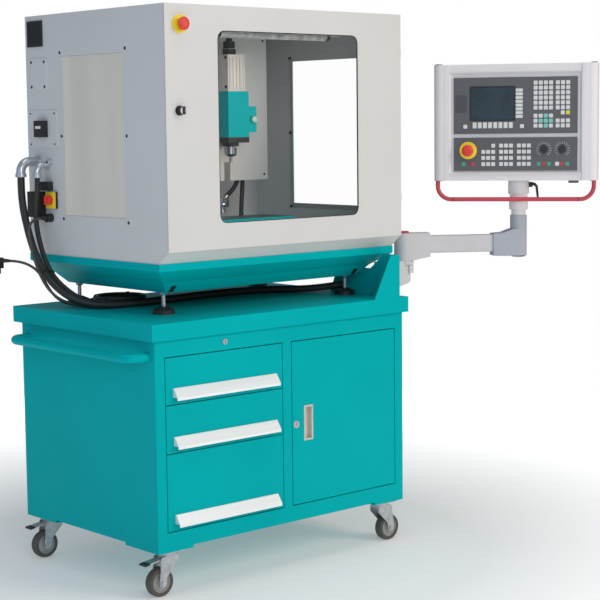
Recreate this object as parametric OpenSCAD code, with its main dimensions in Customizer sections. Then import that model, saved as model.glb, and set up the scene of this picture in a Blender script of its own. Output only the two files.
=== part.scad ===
/* [Cabinet] */
// Width of the cabinet body
cab_w = 1050; // [950:5:1200]
// Depth of the cabinet body
cab_d = 725; // [700:5:800]
// Height of the cabinet's underside above the floor
cab_lift = 143; // [135:1:160]
// Height of the cabinet body
cab_h = 650; // [620:5:720]
// Thickness of the folded sheet
sheet = 1.5; // [1.2:0.1:2]
// Width of the front frame's upright stiles
stile_w = 36; // [30:1:45]
// Height of the front frame's top rail
top_rail_h = 52; // [45:1:65]
// Height of the front frame's bottom rail
bottom_rail_h = 60; // [55:1:75]

/* [Worktop] */
// Thickness of the worktop pan
top_h = 52; // [40:1:65]
// Worktop overhang at each side
top_over_side = 17.5; // [10:0.5:25]
// Worktop overhang at the front
top_over_front = 13.5; // [8:0.5:20]
// Worktop overhang at the back
top_over_back = 24.5; // [15:0.5:35]

/* [Drawers and cupboard] */
// Gap round each drawer front and door
panel_gap = 3; // [2.5:0.5:4]
// Height of the top drawer front
drawer_1_h = 143; // [120:1:160]
// Height of the middle drawer front
drawer_2_h = 146; // [120:1:160]
// Length of a drawer box from front to back
drawer_len = 600; // [500:5:640]
// Width of the runner space at each side of a drawer
runner_w = 13; // [12:0.5:16]
// Running clearance of a sliding bar
runner_gap = 0.5; // [0.4:0.1:1]
// Height of a drawer grip
grip_h = 36; // [30:1:44]
// Distance a drawer grip stands out
grip_d = 24; // [20:1:30]
// Height of the cupboard's recessed pull
pull_h = 115; // [100:1:130]

/* [Push handle] */
// Diameter of the push handle's tube
handle_tube_d = 28; // [22:1:34]
// Distance the push handle stands out
handle_out = 66; // [62:1:85]
// Distance between the push handle's legs
handle_span = 660; // [560:5:680]

/* [Casters] */
// Diameter of a caster wheel
wheel_d = 90; // [80:1:96]
// Width of a caster wheel
wheel_w = 30; // [26:1:34]
// Distance of the axle behind the swivel axis
caster_trail = 34; // [28:1:38]
// Diameter of a wheel axle
axle_d = 10; // [8:0.5:12]
// Diameter of a king pin
king_pin_d = 12; // [10:0.5:16]
// Radial running clearance of pins, axles and spindles
run_gap = 0.05; // [0.02:0.01:0.1]

/* [Machine stand] */
// Height of the space between worktop and chip tray
tray_gap = 69; // [60:1:90]
// Height of the tray's skirt
skirt_h = 35; // [30:1:45]
// Height of the tray's bevel
bevel_h = 41; // [35:1:50]
// Height of the tray's upright lip
lip_h = 23; // [18:1:30]

/* [Guarding] */
// Width of the guarding
enc_w = 994; // [960:2:1020]
// Depth of the guarding
enc_d = 757; // [740:1:780]
// Distance of the guarding's middle to the right of the cabinet's middle
enc_shift = 53; // [45:1:60]
// Thickness of the guarding's sheet
enc_wall = 2; // [1.5:0.1:2.5]
// Width of the front window
win_w = 590; // [540:2:640]
// Height of the front window
win_h = 586; // [540:2:610]
// Corner radius of the front window
win_r = 25; // [15:1:40]
// Width of a side window
side_win_w = 332; // [300:2:360]
// Height of a side window
side_win_h = 510; // [480:2:540]
// Thickness of the window panes
pane_t = 4; // [3:0.5:6]

/* [Fittings] */
// Diameter of a stop button's mushroom
stop_d = 40; // [36:1:44]
// Outer diameter of the large conduit
conduit_big_d = 26; // [24:1:27]
// Outer diameter of the small conduit
conduit_small_d = 18; // [16:1:19]
// Outer diameter of the mains lead
lead_d = 9; // [8:0.5:9.5]

/* [Mill] */
// Length of the table
table_len = 420; // [380:5:440]
// Width of the table
table_w = 160; // [140:2:180]
// Width of the head casting
head_w = 88; // [80:1:96]
// Height of the head casting
head_h = 150; // [140:1:160]
// Height of the spindle motor
motor_h = 120; // [110:1:130]
// Width of the column's sheet cover
cover_w = 444; // [420:2:470]

/* [Operator arm] */
// Angle of the arm to the cabinet's front
arm_turn = 35; // [25:1:45]
// Length from the pivot to the elbow
arm_len = 405; // [390:1:430]
// Height of the arm's middle
arm_z = 1013; // [1010:1:1018]
// Height of the arm's tube
arm_tube_h = 60; // [54:1:66]
// Diameter of the pivot pin
pivot_pin_d = 24; // [20:1:28]
// Diameter of the elbow's upright
elbow_d = 58; // [54:1:62]
// Angle of the panel to the cabinet's front
pendant_turn = 53.9; // [45:0.1:60]
// Width of the panel housing
pendant_w = 561; // [540:1:580]
// Height of the panel housing
pendant_h = 398; // [385:1:410]
// Depth of the panel housing
pendant_d = 108; // [100:1:120]
// Height of the panel housing's underside
pendant_z = 1230; // [1225:1:1240]
// Width of the two operator fronts
front_w = 422; // [410:1:430]
// Height of the display front
display_h = 192; // [185:1:200]
// Height of the control front
control_h = 114; // [108:1:120]
// Diameter of the panel's handle tube
bar_d = 15; // [13:1:17]

/* [Hidden] */
$fn = 48;

// Overshoot of a cut past the face it opens
cut = 1;

// Smaller fixed sizes
return_d = 22;
foot_len_x = 135;
foot_len_y = 170;
foot_notch_h = 9;
lock_d = 18;
top_skin = 2;
top_lip = 50;
runner_bar_h = 10;
grip_inset = 27;
grip_wall = 2.5;
grip_lift = 14;
pull_w = 39;
pull_cup_d = 14;
cupboard_pin_d = 6;
handle_bend = 42;
handle_drop = 50;
caster_inset_x = 68;
caster_inset_y = 45;
skirt_in = 33;
bevel_in = 57;
lip_out = 3;
tray_wall = 2.5;
skid_w = 25;
foot_d = 70;
foot_h = 24;
stud_d = 12;
enc_setback = 26;
chamfer_d = 48;
chamfer_h = 38;
frame_flange = 30;
win_lift = 80;
win_head = 76;
enc_h = chamfer_h + win_lift + win_h + win_head;
side_win_lift = 133;
side_win_back = 213;
pane_lap = 18;
door_pin_d = 6;
stop_collar_d = 54;
stop_travel = 5;
table_lift = 184;
spindle_back = 304;
head_d = 90;
head_lift = 268;
motor_w = 72;
cover_lift = 121;
column_w = 160;
arm_tube_w = 44;
arm_tube_wall = 4;
pendant_front = 70;
bar_drop = 72;

// Colours
teal = "#00a3a5";
teal_dark = "#007f84";
guard_grey = "#d6d5d1";
arm_grey = "#b4b9bd";
zinc = "#9a9d9e";
silver = "#e4e8e8";
dark = "#2a2a2b";
panel_dark = "#58585b";
rubber_grey = "#757069";
stop_red = "#c8372f";
clear = "#dfe7ea";

// Cabinet levels and openings
cab_x = cab_w / 2;
cab_front = -cab_d / 2;
cab_back = cab_d / 2;
cab_top = cab_lift + cab_h;
floor_z = cab_lift + bottom_rail_h - 12;
open_z0 = cab_lift + bottom_rail_h;
open_z1 = cab_top - top_rail_h;
open_w = (cab_w - 3 * stile_w) / 2;
drawer_x0 = -cab_x + stile_w;
drawer_x1 = drawer_x0 + open_w;
cup_x0 = drawer_x1 + stile_w;
cup_x1 = cup_x0 + open_w;
corner_plate_t = 3;
top_flange = 26;
lock_out = 2;
lock_x = (drawer_x0 + drawer_x1) / 2;
lock_z = cab_top - top_rail_h / 2;
pivot_in = 6;
pin_len = 12;
cup_pin_x = cup_x1 - panel_gap - pivot_in;
cup_pin_y = cab_front + pivot_in;

// Worktop
top_z = cab_top + top_h;
top_front = cab_front - top_over_front;
top_rib_t = 20;

// Drawers
front_pan_d = 20;
drawer_hs = [
  drawer_1_h, drawer_2_h,
  open_z1 - open_z0 - 4 * panel_gap - drawer_1_h - drawer_2_h
];
drawer_tops = [
  open_z1 - panel_gap,
  open_z1 - 2 * panel_gap - drawer_hs[0],
  open_z1 - 3 * panel_gap - drawer_hs[0] - drawer_hs[1]
];
drawer_box_w = open_w - 2 * runner_w;
box_floor_lift = 14;
box_rim_drop = 28;
runner_lift = 46;
bar_w = runner_w - sheet - 2 * runner_gap;
bar_len = drawer_len - 30;
pull_edge = 3;
pull_plate_t = 2.5;
pull_fit = 0.4;
pull_x = cup_x0 + panel_gap + 68;
pull_z = (open_z0 + open_z1) / 2 - 3;
cup_lock_x = cup_x0 + panel_gap + 16;
door_pan_d = 18;
hinge_block = 18;

// Casters
plate_t = 4;
plate_l = 96;
plate_w = 80;
plate_z = cab_lift - plate_t;
head_r = 29;
swivel_h = 13;
bridge_t = 5;
leg_t = 3.5;
leg_gap = 3;
leg_y = wheel_w / 2 + leg_gap;
bridge_z = plate_z - swivel_h;
axle_z = wheel_d / 2;
pedal_pin_d = 6;
pedal_x = 30;
pedal_z = bridge_z - 13;
pedal_hub_r = 7;
pedal_len = 66;
pedal_w = 34;
pedal_t = 4;
pedal_fall = 8;
caster_x = cab_x - caster_inset_x;
caster_y = cab_back - caster_inset_y;
king_len = swivel_h;

// Machine stand and guarding
enc_x0 = enc_shift - enc_w / 2;
enc_x1 = enc_shift + enc_w / 2;
enc_y0 = cab_front + enc_setback;
enc_y1 = enc_y0 + enc_d;
tray_z0 = top_z + tray_gap;
tray_floor = tray_z0 + skid_w;
tray_z1 = tray_z0 + skirt_h;
tray_z2 = tray_z1 + bevel_h;
enc_z0 = tray_z2 + lip_h;
enc_z1 = enc_z0 + enc_h;
tray_front = enc_y0 + chamfer_d;
tray_in = bevel_in + skirt_in;
rim_w = 16;
skid_side = 6;
skid_wall = 2;
skid_xs = [
  enc_x0 - lip_out + tray_in + skid_side,
  enc_x1 + lip_out - tray_in - skid_side - skid_w
];
skid_y0 = tray_front - lip_out + tray_in;
skid_y1 = enc_y1 + lip_out - tray_in;
foot_inset = 36;
foot_ys = [skid_y0 + foot_inset, skid_y1 - foot_inset];
stud_nut_d = 22;
stud_nut_h = 8;

// Guard door
door_skin = 2;
door_seal = 1.5;
door_z0 = enc_z0 + chamfer_h;
door_h = enc_z1 - door_z0;
shell_y0 = enc_y0 + door_skin + door_seal;
ring_in = 52;
ring_d = 22;
hinge_x = enc_x1 + 6;
hinge_y = enc_y0 + 22;
knuckle_r = 5.5;
knuckle_h = 26;
knuckle_gap = 0.4;
leaf_t = 2;
hinge_zs = [door_z0 + 90, enc_z1 - 90 - 3 * knuckle_h];
win_x = enc_shift;
win_z = door_z0 + win_lift + win_h / 2;
knob_inset = 50;
knob_x = enc_x0 + knob_inset;
knob_lift = 425;
knob_z = door_z0 + knob_lift;
knob_r = 12;
knob_out = 20;
knob_shaft_d = 10;
latch_l = 24;
door_stop_x = enc_x0 + 56;
door_stop_z = enc_z1 - 60;
collar_h = 5;
stop_neck_d = 24;
stop_cap_h = 18;
stop_clear = stop_travel + 1;
stop_shaft_d = 12;
stop_shaft_len = 26;
collar_bore_d = stop_shaft_d + 2 * run_gap;

// Side windows
side_win_y0 = enc_y0 + side_win_back;
side_win_y1 = side_win_y0 + side_win_w;
side_win_z0 = enc_z0 + side_win_lift;
side_win_z1 = side_win_z0 + side_win_h;

// Lamp under the roof behind the door
lamp_len = 560;
lamp_y = enc_y0 + 60;
lamp_d = 46;
lamp_h = 74;
diffuser_r = 15;
diffuser_len = 470;

// Fittings on the left side, measured from the guarding's back and top
vent_drop = 59;
vent_back = 60;
vent_y = enc_y1 - vent_back;
vent_z = enc_z1 - vent_drop;
vent_w = 88;
vent_h = 84;
vent_t = 4;
vent_slat = 7;
blank_drop = 191;
blank_back = 73;
blank_y = enc_y1 - blank_back;
blank_z = enc_z1 - blank_drop;
blank_w = 100;
blank_h = 104;
plate_th = 2;
socket_drop = 368;
socket_back = 93;
socket_y = enc_y1 - socket_back;
socket_z = enc_z1 - socket_drop;
socket_plate_w = 165;
socket_plate_h = 122;
socket_w = 60;
socket_h = 54;
socket_d = 16;
hood_drop = 615;
hood_back = 66;
hood_y = enc_y1 - hood_back;
hood_z = enc_z1 - hood_drop;
hood_w = 58;
hood_h = 84;
hood_d = 34;
clip_drop = 554;
clip_back = 118;
clip_y = enc_y1 - clip_back;
clip_z = enc_z1 - clip_drop;
clip_w = 46;
clip_h = 28;
clip_d = 20;
switch_drop = 600;
switch_back = 138;
switch_y = enc_y1 - switch_back;
switch_z = enc_z1 - switch_drop;
switch_w = 58;
switch_h = 54;
switch_t = 9;
switch_r = 15;
switch_out = 17;
gland_drop = 658;
gland_back = 128;
gland_y = enc_y1 - gland_back;
gland_z = enc_z1 - gland_drop;
gland_r = 14;
gland_len = 22;
boot_len = 24;
boot_step = 5;
elbow_1_drop = 474;
elbow_1_back = 60;
elbow_1_y = enc_y1 - elbow_1_back;
elbow_1_z = enc_z1 - elbow_1_drop;
elbow_1_out = 70;
elbow_1_bend = 34;
elbow_2_drop = 484;
elbow_2_back = 116;
elbow_2_y = enc_y1 - elbow_2_back;
elbow_2_z = enc_z1 - elbow_2_drop;
elbow_2_out = 44;
elbow_2_bend = 26;
elbow_drop = 16;
ferrule_wall = 2;

// Mill
mill_x = enc_shift;
spindle_y = enc_y0 + spindle_back;
table_z = tray_floor + table_lift;
table_t = 42;
saddle_h = 38;
base_h = table_lift - table_t - saddle_h;
base_w = 190;
base_ahead = 120;
base_front = spindle_y - base_ahead;
base_room = 130;
base_back = enc_y1 - base_room;
column_set = 155;
column_y0 = spindle_y + column_set;
column_d = 120;
column_room = 130;
column_top = enc_z1 - column_room;
cover_set = 70;
cover_y = spindle_y + cover_set;
cover_t = 2;
cover_top = enc_z1 - 60;
cover_z0 = table_z + cover_lift;
slot_w = 26;
slot_gap = 84;
slot_z0 = cover_z0 - cut;
slot_z1 = cover_top - 20;
rail_w = 20;
rail_h = 18;
head_z0 = table_z + head_lift;
head_y0 = spindle_y - head_d / 2;
head_y1 = head_y0 + head_d;
carriage_w = 150;
carriage_t = 14;
carriage_h = 240;
carriage_gap = 3;
arm_bar_h = 90;
tslot_w = 10;
tslot_n = 3;
nose_h = 30;
spindle_d = 30;
spindle_out = 34;
tool_d = 10;
tool_len = 20;
nose_plate_h = 18;
nose_r = 27;
bore_top = 90;
box_w = 46;
box_h = 86;
box_d = 34;
box_back = 16;
box_lift = 15;
button_r = 11;
button_out = 8;
button_side = 6;
carriage_lift = 10;
bar_fit = 2;
way_gap = 0.3;
dovetail = 12;
fin_n = 5;
fin_d = 3;

// Operator arm
pivot_x = 617;
pivot_y = cab_front + 78.5;
plate_x = cab_x - 24;
bracket_h = 144;
gusset_base = 118;
gusset_top = 42;
gusset_t = 4;
bracket_foot = 340;
bracket_toe = 40;
bracket_head = 70;
bracket_step = 138;
bracket_rise = 22;
mount_w = 44;
mount_h = 104;
mount_top = arm_z - 54;
block_r = 35;
block_len = 87;
block_top = arm_z + 40;
block_low = arm_z - 42;
turn_gap = 0.3;
socket_in = 24;
socket_fit = 0.2;
elbow_x = pivot_x + arm_len * cos(arm_turn);
elbow_y = pivot_y - arm_len * sin(arm_turn);
elbow_low = arm_z - 45;
elbow_high = arm_z + 95;
elbow_reach = 58;
spigot_d = 30;
spigot_len = 60;
neck_d = 50;
neck_h = 20;
flange_d = 72;
side_col = 53;
side_r = 24;
face_depth = 12;
recess_top = 26;
recess_w = pendant_w - 2 * side_col;
recess_h = pendant_h - 2 * recess_top + 4;
front_t = 6;
display_drop = 45;
front_split = 13;
display_z1 = pendant_z + pendant_h - display_drop;
display_z0 = display_z1 - display_h;
control_z1 = display_z0 - front_split;
control_z0 = control_z1 - control_h;
face_y = -pendant_front;
floor_y = face_y + face_depth;
panel_y = floor_y - front_t;
pendant_shift = -7.5;
screen_w = 150;
screen_h = 111;
screen_x = -77;
screen_z = display_z1 - 89;
screen_in = 2;
stop_x = -161;
stop_z = control_z1 - 44;
key_rise = 1;
key_w = 13;
soft_pitch = 17.7;
soft_low = 74;
soft_h = 20;
soft_x = 13.5;
soft_w = 24;
side_pitch = 12.8;
side_h = 10;
single_xs = [-171, 23];
single_lift = 25;
pad_x = 69;
pad_z = display_z1 - 20;
pad_pitch = [17.4, 17];
block_xs = [-109, -48, 13];
block_z = control_z1 - 28;
block_pitch = [17, 21];
start_gap = 32;
dial_xs = [98, 160];
dial_z = control_z1 - 42;
dial_r = 12;
dial_out = 14;
dial_shaft_d = 6;
dial_gap = 0.3;
bar_span = pendant_w - 27;
bar_bend = 46;
bar_y = face_y + 14;
lever_z = pendant_z - 16;
lever_r = 9;
lever_screw_d = 8;
lever_in = 14;
lever_hub = 12;
lever_len = 46;

// Route of the large conduit, from its elbow to the arm bracket
conduit_big_start = [enc_x0 - elbow_1_out, elbow_1_y, elbow_1_z - elbow_1_bend - elbow_drop];
big_z = top_z + conduit_big_d / 2;
conduit_big_end = [plate_x - gusset_t, -112, 872];
conduit_big_route = [
  conduit_big_start, conduit_big_start - [0, 0, 30],
  [-514, 358, 1200], [-514, 350, 1160], [-512, 338, 1115], [-510, 322, 1070],
  [-508, 300, 1025], [-505, 270, 980], [-498, 232, 940], [-484, 190, 905],
  [-458, 145, 876], [-420, 102, 862], [-370, 74, big_z], [-310, 62, big_z],
  [-230, 60, big_z], [-147, 68, big_z], [-50, 80, big_z],
  [60, 92, big_z], [160, 95, big_z], [250, 78, big_z],
  [316, 46, big_z], [350, 2, 859], [377, -33, 861], [403, -66, 864.5],
  [437.5, -96, 869.5], [466, -108, 872], conduit_big_end
];
// Route of the small conduit, beside the large one
conduit_small_start = [enc_x0 - elbow_2_out, elbow_2_y, elbow_2_z - elbow_2_bend - elbow_drop];
small_z = top_z + conduit_small_d / 2;
conduit_small_end = [plate_x - gusset_t, -84, 868];
conduit_small_route = [
  conduit_small_start, conduit_small_start - [0, 0, 28],
  [-488, 310, 1205], [-487, 318, 1160], [-485, 320, 1110], [-482, 308, 1055],
  [-480, 283, 1000], [-474, 248, 950], [-460, 206, 912], [-436, 166, 882],
  [-400, 128, 862], [-355, 102, small_z], [-290, 88, small_z],
  [-220, 86, small_z], [-140, 94, small_z], [-40, 107, small_z],
  [70, 119, small_z], [170, 122, small_z], [262, 104, small_z],
  [332, 68, small_z], [372.5, 18, 855.5], [400.5, -17.5, 858.5],
  [425, -49, 862.5], [451.5, -72, 866.5], [473.5, -81, 868], conduit_small_end
];
// Coil of the mains lead, lying on the worktop under the tray
coil_x = -245;
coil_y = 200;
coil_r = 80;
coil_section = 24;
// The lead runs on to the coil's outer turn and leaves it along a tangent
coil_lay = coil_r + lead_d / 2 + 0.25;
coil_reach = sqrt(pow(coil_r + coil_section / 2, 2) - pow(coil_lay - lead_d / 2, 2)) + 0.5;
lead_z = top_z + lead_d / 2;
// Route of the mains lead, from the gland to the coil
lead_start = [enc_x0 - gland_len - boot_len, gland_y, gland_z];
lead_route_in = [
  lead_start, [-508.4, 292.2, 1132.5], [-523.7, 291.2, 1122.7], [-533.5, 289.5, 1107.4],
  [-536.5, 287, 1091], [-536.5, 280, 1058], [-535, 267, 1018], [-532, 250, 978],
  [-526, 230, 940], [-512, 212, 906], [-488, 192, 878], [-452, 166, 860],
  [-410, 143, 850.5], [-360, 123, lead_z],
  [-310, coil_y - coil_lay, lead_z], [coil_x - coil_reach, coil_y - coil_lay, lead_z]
];
// Route of the mains lead, from the coil to the plug
plug_at = [-560, 364, 996];
plug_turn = 102;
coil_exit = 120;
lead_out_dir = [-sin(coil_exit), cos(coil_exit), 0];
lead_out_at = coil_lay * [cos(coil_exit), sin(coil_exit), 0] + coil_reach * lead_out_dir;
lead_route_out = [
  [coil_x, coil_y, lead_z + lead_d + 0.2] + lead_out_at,
  [-355, 235, 856], [-385, 224, 852], [-415, 223, 852.5], [-442, 232, 860],
  [-466, 246, 878], [-486, 254, 906], [-500, 264, 936], [-511, 283, 964],
  [-525, 305, 982], [-542, 325, 992],
  plug_at - 18 * [cos(plug_turn), sin(plug_turn), 0], plug_at
];
plug_len = 46;
plug_r = 19;
plug_head_l = 34;
plug_neck_r = 8;
tube_sides = 10;

// A box between two corners
module span(lo, hi) {
  translate(lo) cube(hi - lo);
}

// A rectangle with round corners, centred
module rounded_rect(w, h, r) {
  square([w - 2 * r, h], center = true);
  square([w, h - 2 * r], center = true);
  for (sx = [-1, 1], sy = [-1, 1])
    translate([sx * (w / 2 - r), sy * (h / 2 - r)])
      circle(r);
}

// A folded ring of sheet, lying in the XZ plane and running back along Y
module sheet_ring(x0, x1, z0, z1, y0, y1, t) {
  difference() {
    span([x0 - t, y0, z0 - t], [x1 + t, y1, z1 + t]);
    span([x0, y0 - cut, z0], [x1, y1 + cut, z1]);
  }
}

// A pan with an outer skin at the front and returns on four sides
module front_pan(x0, x1, z0, z1, y0, y1, t) {
  difference() {
    span([x0, y0, z0], [x1, y1, z1]);
    span([x0 + t, y0 + t, z0 + t], [x1 - t, y1 + cut, z1 - t]);
  }
}

// An extrusion along X of a profile drawn as [y, z]
module along_x(x0, x1, points) {
  translate([x0, 0, 0])
    rotate([90, 0, 90])
      linear_extrude(x1 - x0)
        polygon(points);
}

// An extrusion along Y of a profile drawn as [x, z]
module along_y(y0, y1, points) {
  translate([0, y1, 0])
    rotate([90, 0, 0])
      linear_extrude(y1 - y0)
        polygon(points);
}

// A cylinder along X, Y or Z from a start point
module rod_x(at, r, l) {
  translate(at) rotate([0, 90, 0]) cylinder(r = r, h = l);
}

module rod_y(at, r, l) {
  translate(at) rotate([-90, 0, 0]) cylinder(r = r, h = l);
}

module rod_z(at, r, l) {
  translate(at) cylinder(r = r, h = l);
}

// A tube swept along a route, one ring of points at each route point
function unit(v) = v / norm(v);
function heading(route, i) =
  unit(route[min(i + 1, len(route) - 1)] - route[max(i - 1, 0)]);
function side_of(t) = unit(cross(t, abs(t[2]) > 0.9 ? [0, 1, 0] : [0, 0, 1]));
function next_side(s, t) = unit(s - (s * t) * t);
function sides(route, i = 0, s = undef) =
  let (t = heading(route, i), n = i == 0 ? side_of(t) : next_side(s, t))
  i == len(route) - 1 ? [n] : concat([n], sides(route, i + 1, n));
function ring(p, t, s, r) =
  let (u = cross(t, s))
  [for (k = [0:tube_sides - 1])
    p + r * (cos(360 * k / tube_sides) * s + sin(360 * k / tube_sides) * u)];

module swept_tube(route, d) {
  last = len(route) - 1;
  ss = sides(route);
  points = [for (i = [0:last]) each ring(route[i], heading(route, i), ss[i], d / 2)];
  walls = [
    for (i = [0:last - 1], k = [0:tube_sides - 1])
      let (a = i * tube_sides, n = (k + 1) % tube_sides)
      [a + k, a + n, a + tube_sides + n, a + tube_sides + k]
  ];
  first_cap = [for (k = [tube_sides - 1:-1:0]) k];
  last_cap = [for (k = [0:tube_sides - 1]) last * tube_sides + k];
  polyhedron(points, concat([first_cap], walls, [last_cap]), convexity = 6);
}

// Cabinet carcass with its front frame, caster corners, lock barrel and hinge pins
module cabinet_body() {
  color(teal) {
    difference() {
      span([-cab_x, cab_front, cab_lift], [cab_x, cab_back, cab_top]);
      span([-cab_x + sheet, cab_front + sheet, floor_z + sheet],
        [cab_x - sheet, cab_back - sheet, cab_top + cut]);
      span([-cab_x + sheet, cab_front + sheet, cab_lift - cut],
        [cab_x - sheet, cab_back - sheet, floor_z]);
      for (x = [drawer_x0, cup_x0])
        span([x, cab_front - cut, open_z0],
          [x + open_w, cab_front + sheet + cut, open_z1]);
      span([-cab_x + foot_len_x, cab_front - cut, cab_lift - cut],
        [cab_x - foot_len_x, cab_back + cut, cab_lift + foot_notch_h]);
      span([-cab_x - cut, cab_front + foot_len_y, cab_lift - cut],
        [cab_x + cut, cab_back - foot_len_y, cab_lift + foot_notch_h]);
    }
    for (x = [drawer_x0, cup_x0])
      sheet_ring(x, x + open_w, open_z0, open_z1, cab_front, cab_front + return_d, sheet);
    for (x = [drawer_x0 - sheet, drawer_x1, cup_x0 - sheet])
      span([x, cab_front + sheet, floor_z], [x + sheet, cab_back - sheet, cab_top]);
    for (sx = [-1, 1], sy = [-1, 1])
      span([sx > 0 ? cab_x - foot_len_x : -cab_x, sy > 0 ? cab_back - foot_len_y : cab_front,
         cab_lift],
        [sx > 0 ? cab_x : -cab_x + foot_len_x, sy > 0 ? cab_back : cab_front + foot_len_y,
         cab_lift + corner_plate_t]);
    difference() {
      span([-cab_x, cab_front, cab_top - sheet], [cab_x, cab_back, cab_top]);
      span([-cab_x + top_flange, cab_front + top_flange, cab_top - sheet - cut],
        [cab_x - top_flange, cab_back - top_flange, cab_top + cut]);
    }
    rod_y([lock_x, cab_front - lock_out, lock_z], lock_d / 2, lock_out + return_d);
    for (z = [open_z0 - sheet, open_z1 - panel_gap - pin_len])
      rod_z([cup_pin_x, cup_pin_y, z], cupboard_pin_d / 2, panel_gap + pin_len + sheet);
  }
}

// Folded worktop pan with lips and two stiffening ribs underneath
module worktop() {
  x = cab_x + top_over_side;
  y1 = cab_back + top_over_back;
  color(teal) {
    difference() {
      span([-x, top_front, cab_top], [x, y1, top_z]);
      span([-x + top_skin, top_front + top_skin, cab_top + top_skin],
        [x - top_skin, y1 - top_skin, top_z - top_skin]);
      span([-x + top_lip, top_front + top_lip, cab_top - cut],
        [x - top_lip, y1 - top_lip, top_z - top_skin]);
    }
    for (sx = [-1, 1])
      span([sx * open_w / 2 - top_rib_t / 2, top_front, cab_top],
        [sx * open_w / 2 + top_rib_t / 2, y1, top_z]);
  }
}

// Bent tube handle on the cabinet's left side
module push_handle() {
  z = cab_top - handle_drop;
  r = handle_tube_d / 2;
  leg = handle_out - handle_bend;
  color(teal)
    translate([-cab_x, 0, z]) {
      for (s = [-1, 1]) {
        rod_x([-leg, s * handle_span / 2, 0], r, leg);
        translate([-leg, s * (handle_span / 2 - handle_bend), 0])
          rotate(s > 0 ? 90 : 180)
            rotate_extrude(angle = 90)
              translate([handle_bend, 0])
                circle(r);
      }
      rod_y([-handle_out, -handle_span / 2 + handle_bend, 0], r,
         handle_span - 2 * handle_bend);
    }
}

// Six channels that the drawers' bars slide in
module drawer_runners() {
  slot_h = runner_bar_h + 2 * runner_gap;
  wide = runner_w - runner_gap;
  color(zinc)
    for (i = [0:2], s = [0, 1]) {
      z = drawer_tops[i] - drawer_hs[i] + runner_lift - runner_gap;
      x = s == 0 ? drawer_x0 : drawer_x1 - wide;
      y = cab_front + return_d;
      difference() {
        span([x, y, z - sheet], [x + wide, y + drawer_len, z + slot_h + sheet]);
        span([s == 0 ? x + sheet : x - cut, y - cut, z],
          [s == 0 ? x + wide + cut : x + wide - sheet, y + drawer_len + cut, z + slot_h]);
      }
    }
}

// Drawer with its folded front, open box and two sliding bars
module drawer(i) {
  z1 = drawer_tops[i];
  z0 = z1 - drawer_hs[i];
  x0 = drawer_x0 + runner_w;
  x1 = x0 + drawer_box_w;
  y0 = cab_front + front_pan_d;
  y1 = y0 + drawer_len;
  front_pan(drawer_x0 + panel_gap, drawer_x1 - panel_gap, z0, z1, cab_front, y0, sheet);
  difference() {
    span([x0, cab_front + sheet / 2, z0 + box_floor_lift], [x1, y1, z1 - box_rim_drop]);
    for (ys = [[cab_front + sheet, y0 - sheet], [y0, y1 - sheet]])
      span([x0 + sheet, ys[0], z0 + box_floor_lift + sheet],
        [x1 - sheet, ys[1], z1 - box_rim_drop + cut]);
  }
  for (x = [x0 - bar_w, x1 - sheet / 2])
    span([x, y1 - bar_len, z0 + runner_lift],
      [x + bar_w + sheet / 2, y1, z0 + runner_lift + runner_bar_h]);
}

module drawer_1() color(teal) drawer(0);

module drawer_2() color(teal) drawer(1);

module drawer_3() color(teal) drawer(2);

// Extruded grip with a sloped face, a lip to pull at and closed ends
module drawer_grip(i) {
  z = drawer_tops[i] - drawer_hs[i] + grip_lift;
  x0 = drawer_x0 + panel_gap + grip_inset;
  x1 = drawer_x1 - panel_gap - grip_inset;
  w = grip_wall;
  crown = 5;
  lip = 8;
  y = cab_front;
  skin = [
    [y, z + grip_h], [y - crown, z + grip_h], [y - grip_d, z + lip],
    [y - grip_d, z], [y - grip_d + w, z], [y - grip_d + w, z + lip - w / 2],
    [y - crown, z + grip_h - 2 * w], [y - w, z + grip_h - 2 * w], [y - w, z + lip], [y, z + lip]
  ];
  cap = [[y, z + lip], [y, z + grip_h], [y - crown, z + grip_h], [y - grip_d, z + lip]];
  color(silver) {
    along_x(x0, x1, skin);
    along_x(x0, x0 + w, cap);
    along_x(x1 - w, x1, cap);
  }
}

module drawer_grip_1() drawer_grip(0);

module drawer_grip_2() drawer_grip(1);

module drawer_grip_3() drawer_grip(2);

// Cupboard door pan with pivot blocks and cut-outs for its pull and lock
module cupboard_door() {
  x0 = cup_x0 + panel_gap;
  x1 = cup_x1 - panel_gap;
  z0 = open_z0 + panel_gap;
  z1 = open_z1 - panel_gap;
  cup_w = pull_w - 2 * pull_edge + 2 * pull_fit;
  cup_h = pull_h - 2 * pull_edge + 2 * pull_fit;
  color(teal)
    difference() {
      union() {
        front_pan(x0, x1, z0, z1, cab_front, cab_front + door_pan_d, sheet);
        for (z = [z0, z1 - hinge_block])
          span([x1 - hinge_block, cab_front, z],
            [x1, cab_front + 2 * pivot_in, z + hinge_block]);
      }
      span([pull_x - cup_w / 2, cab_front - cut, pull_z - cup_h / 2],
        [pull_x + cup_w / 2, cab_front + sheet + cut, pull_z + cup_h / 2]);
      rod_y([cup_lock_x, cab_front - cut, pull_z], lock_d / 2 + pull_fit, sheet + 2 * cut);
      for (z = [z0 - cut, z1 - pin_len - cut])
        rod_z([cup_pin_x, cup_pin_y, z], cupboard_pin_d / 2 + run_gap, pin_len + 2 * cut);
    }
}

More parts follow.
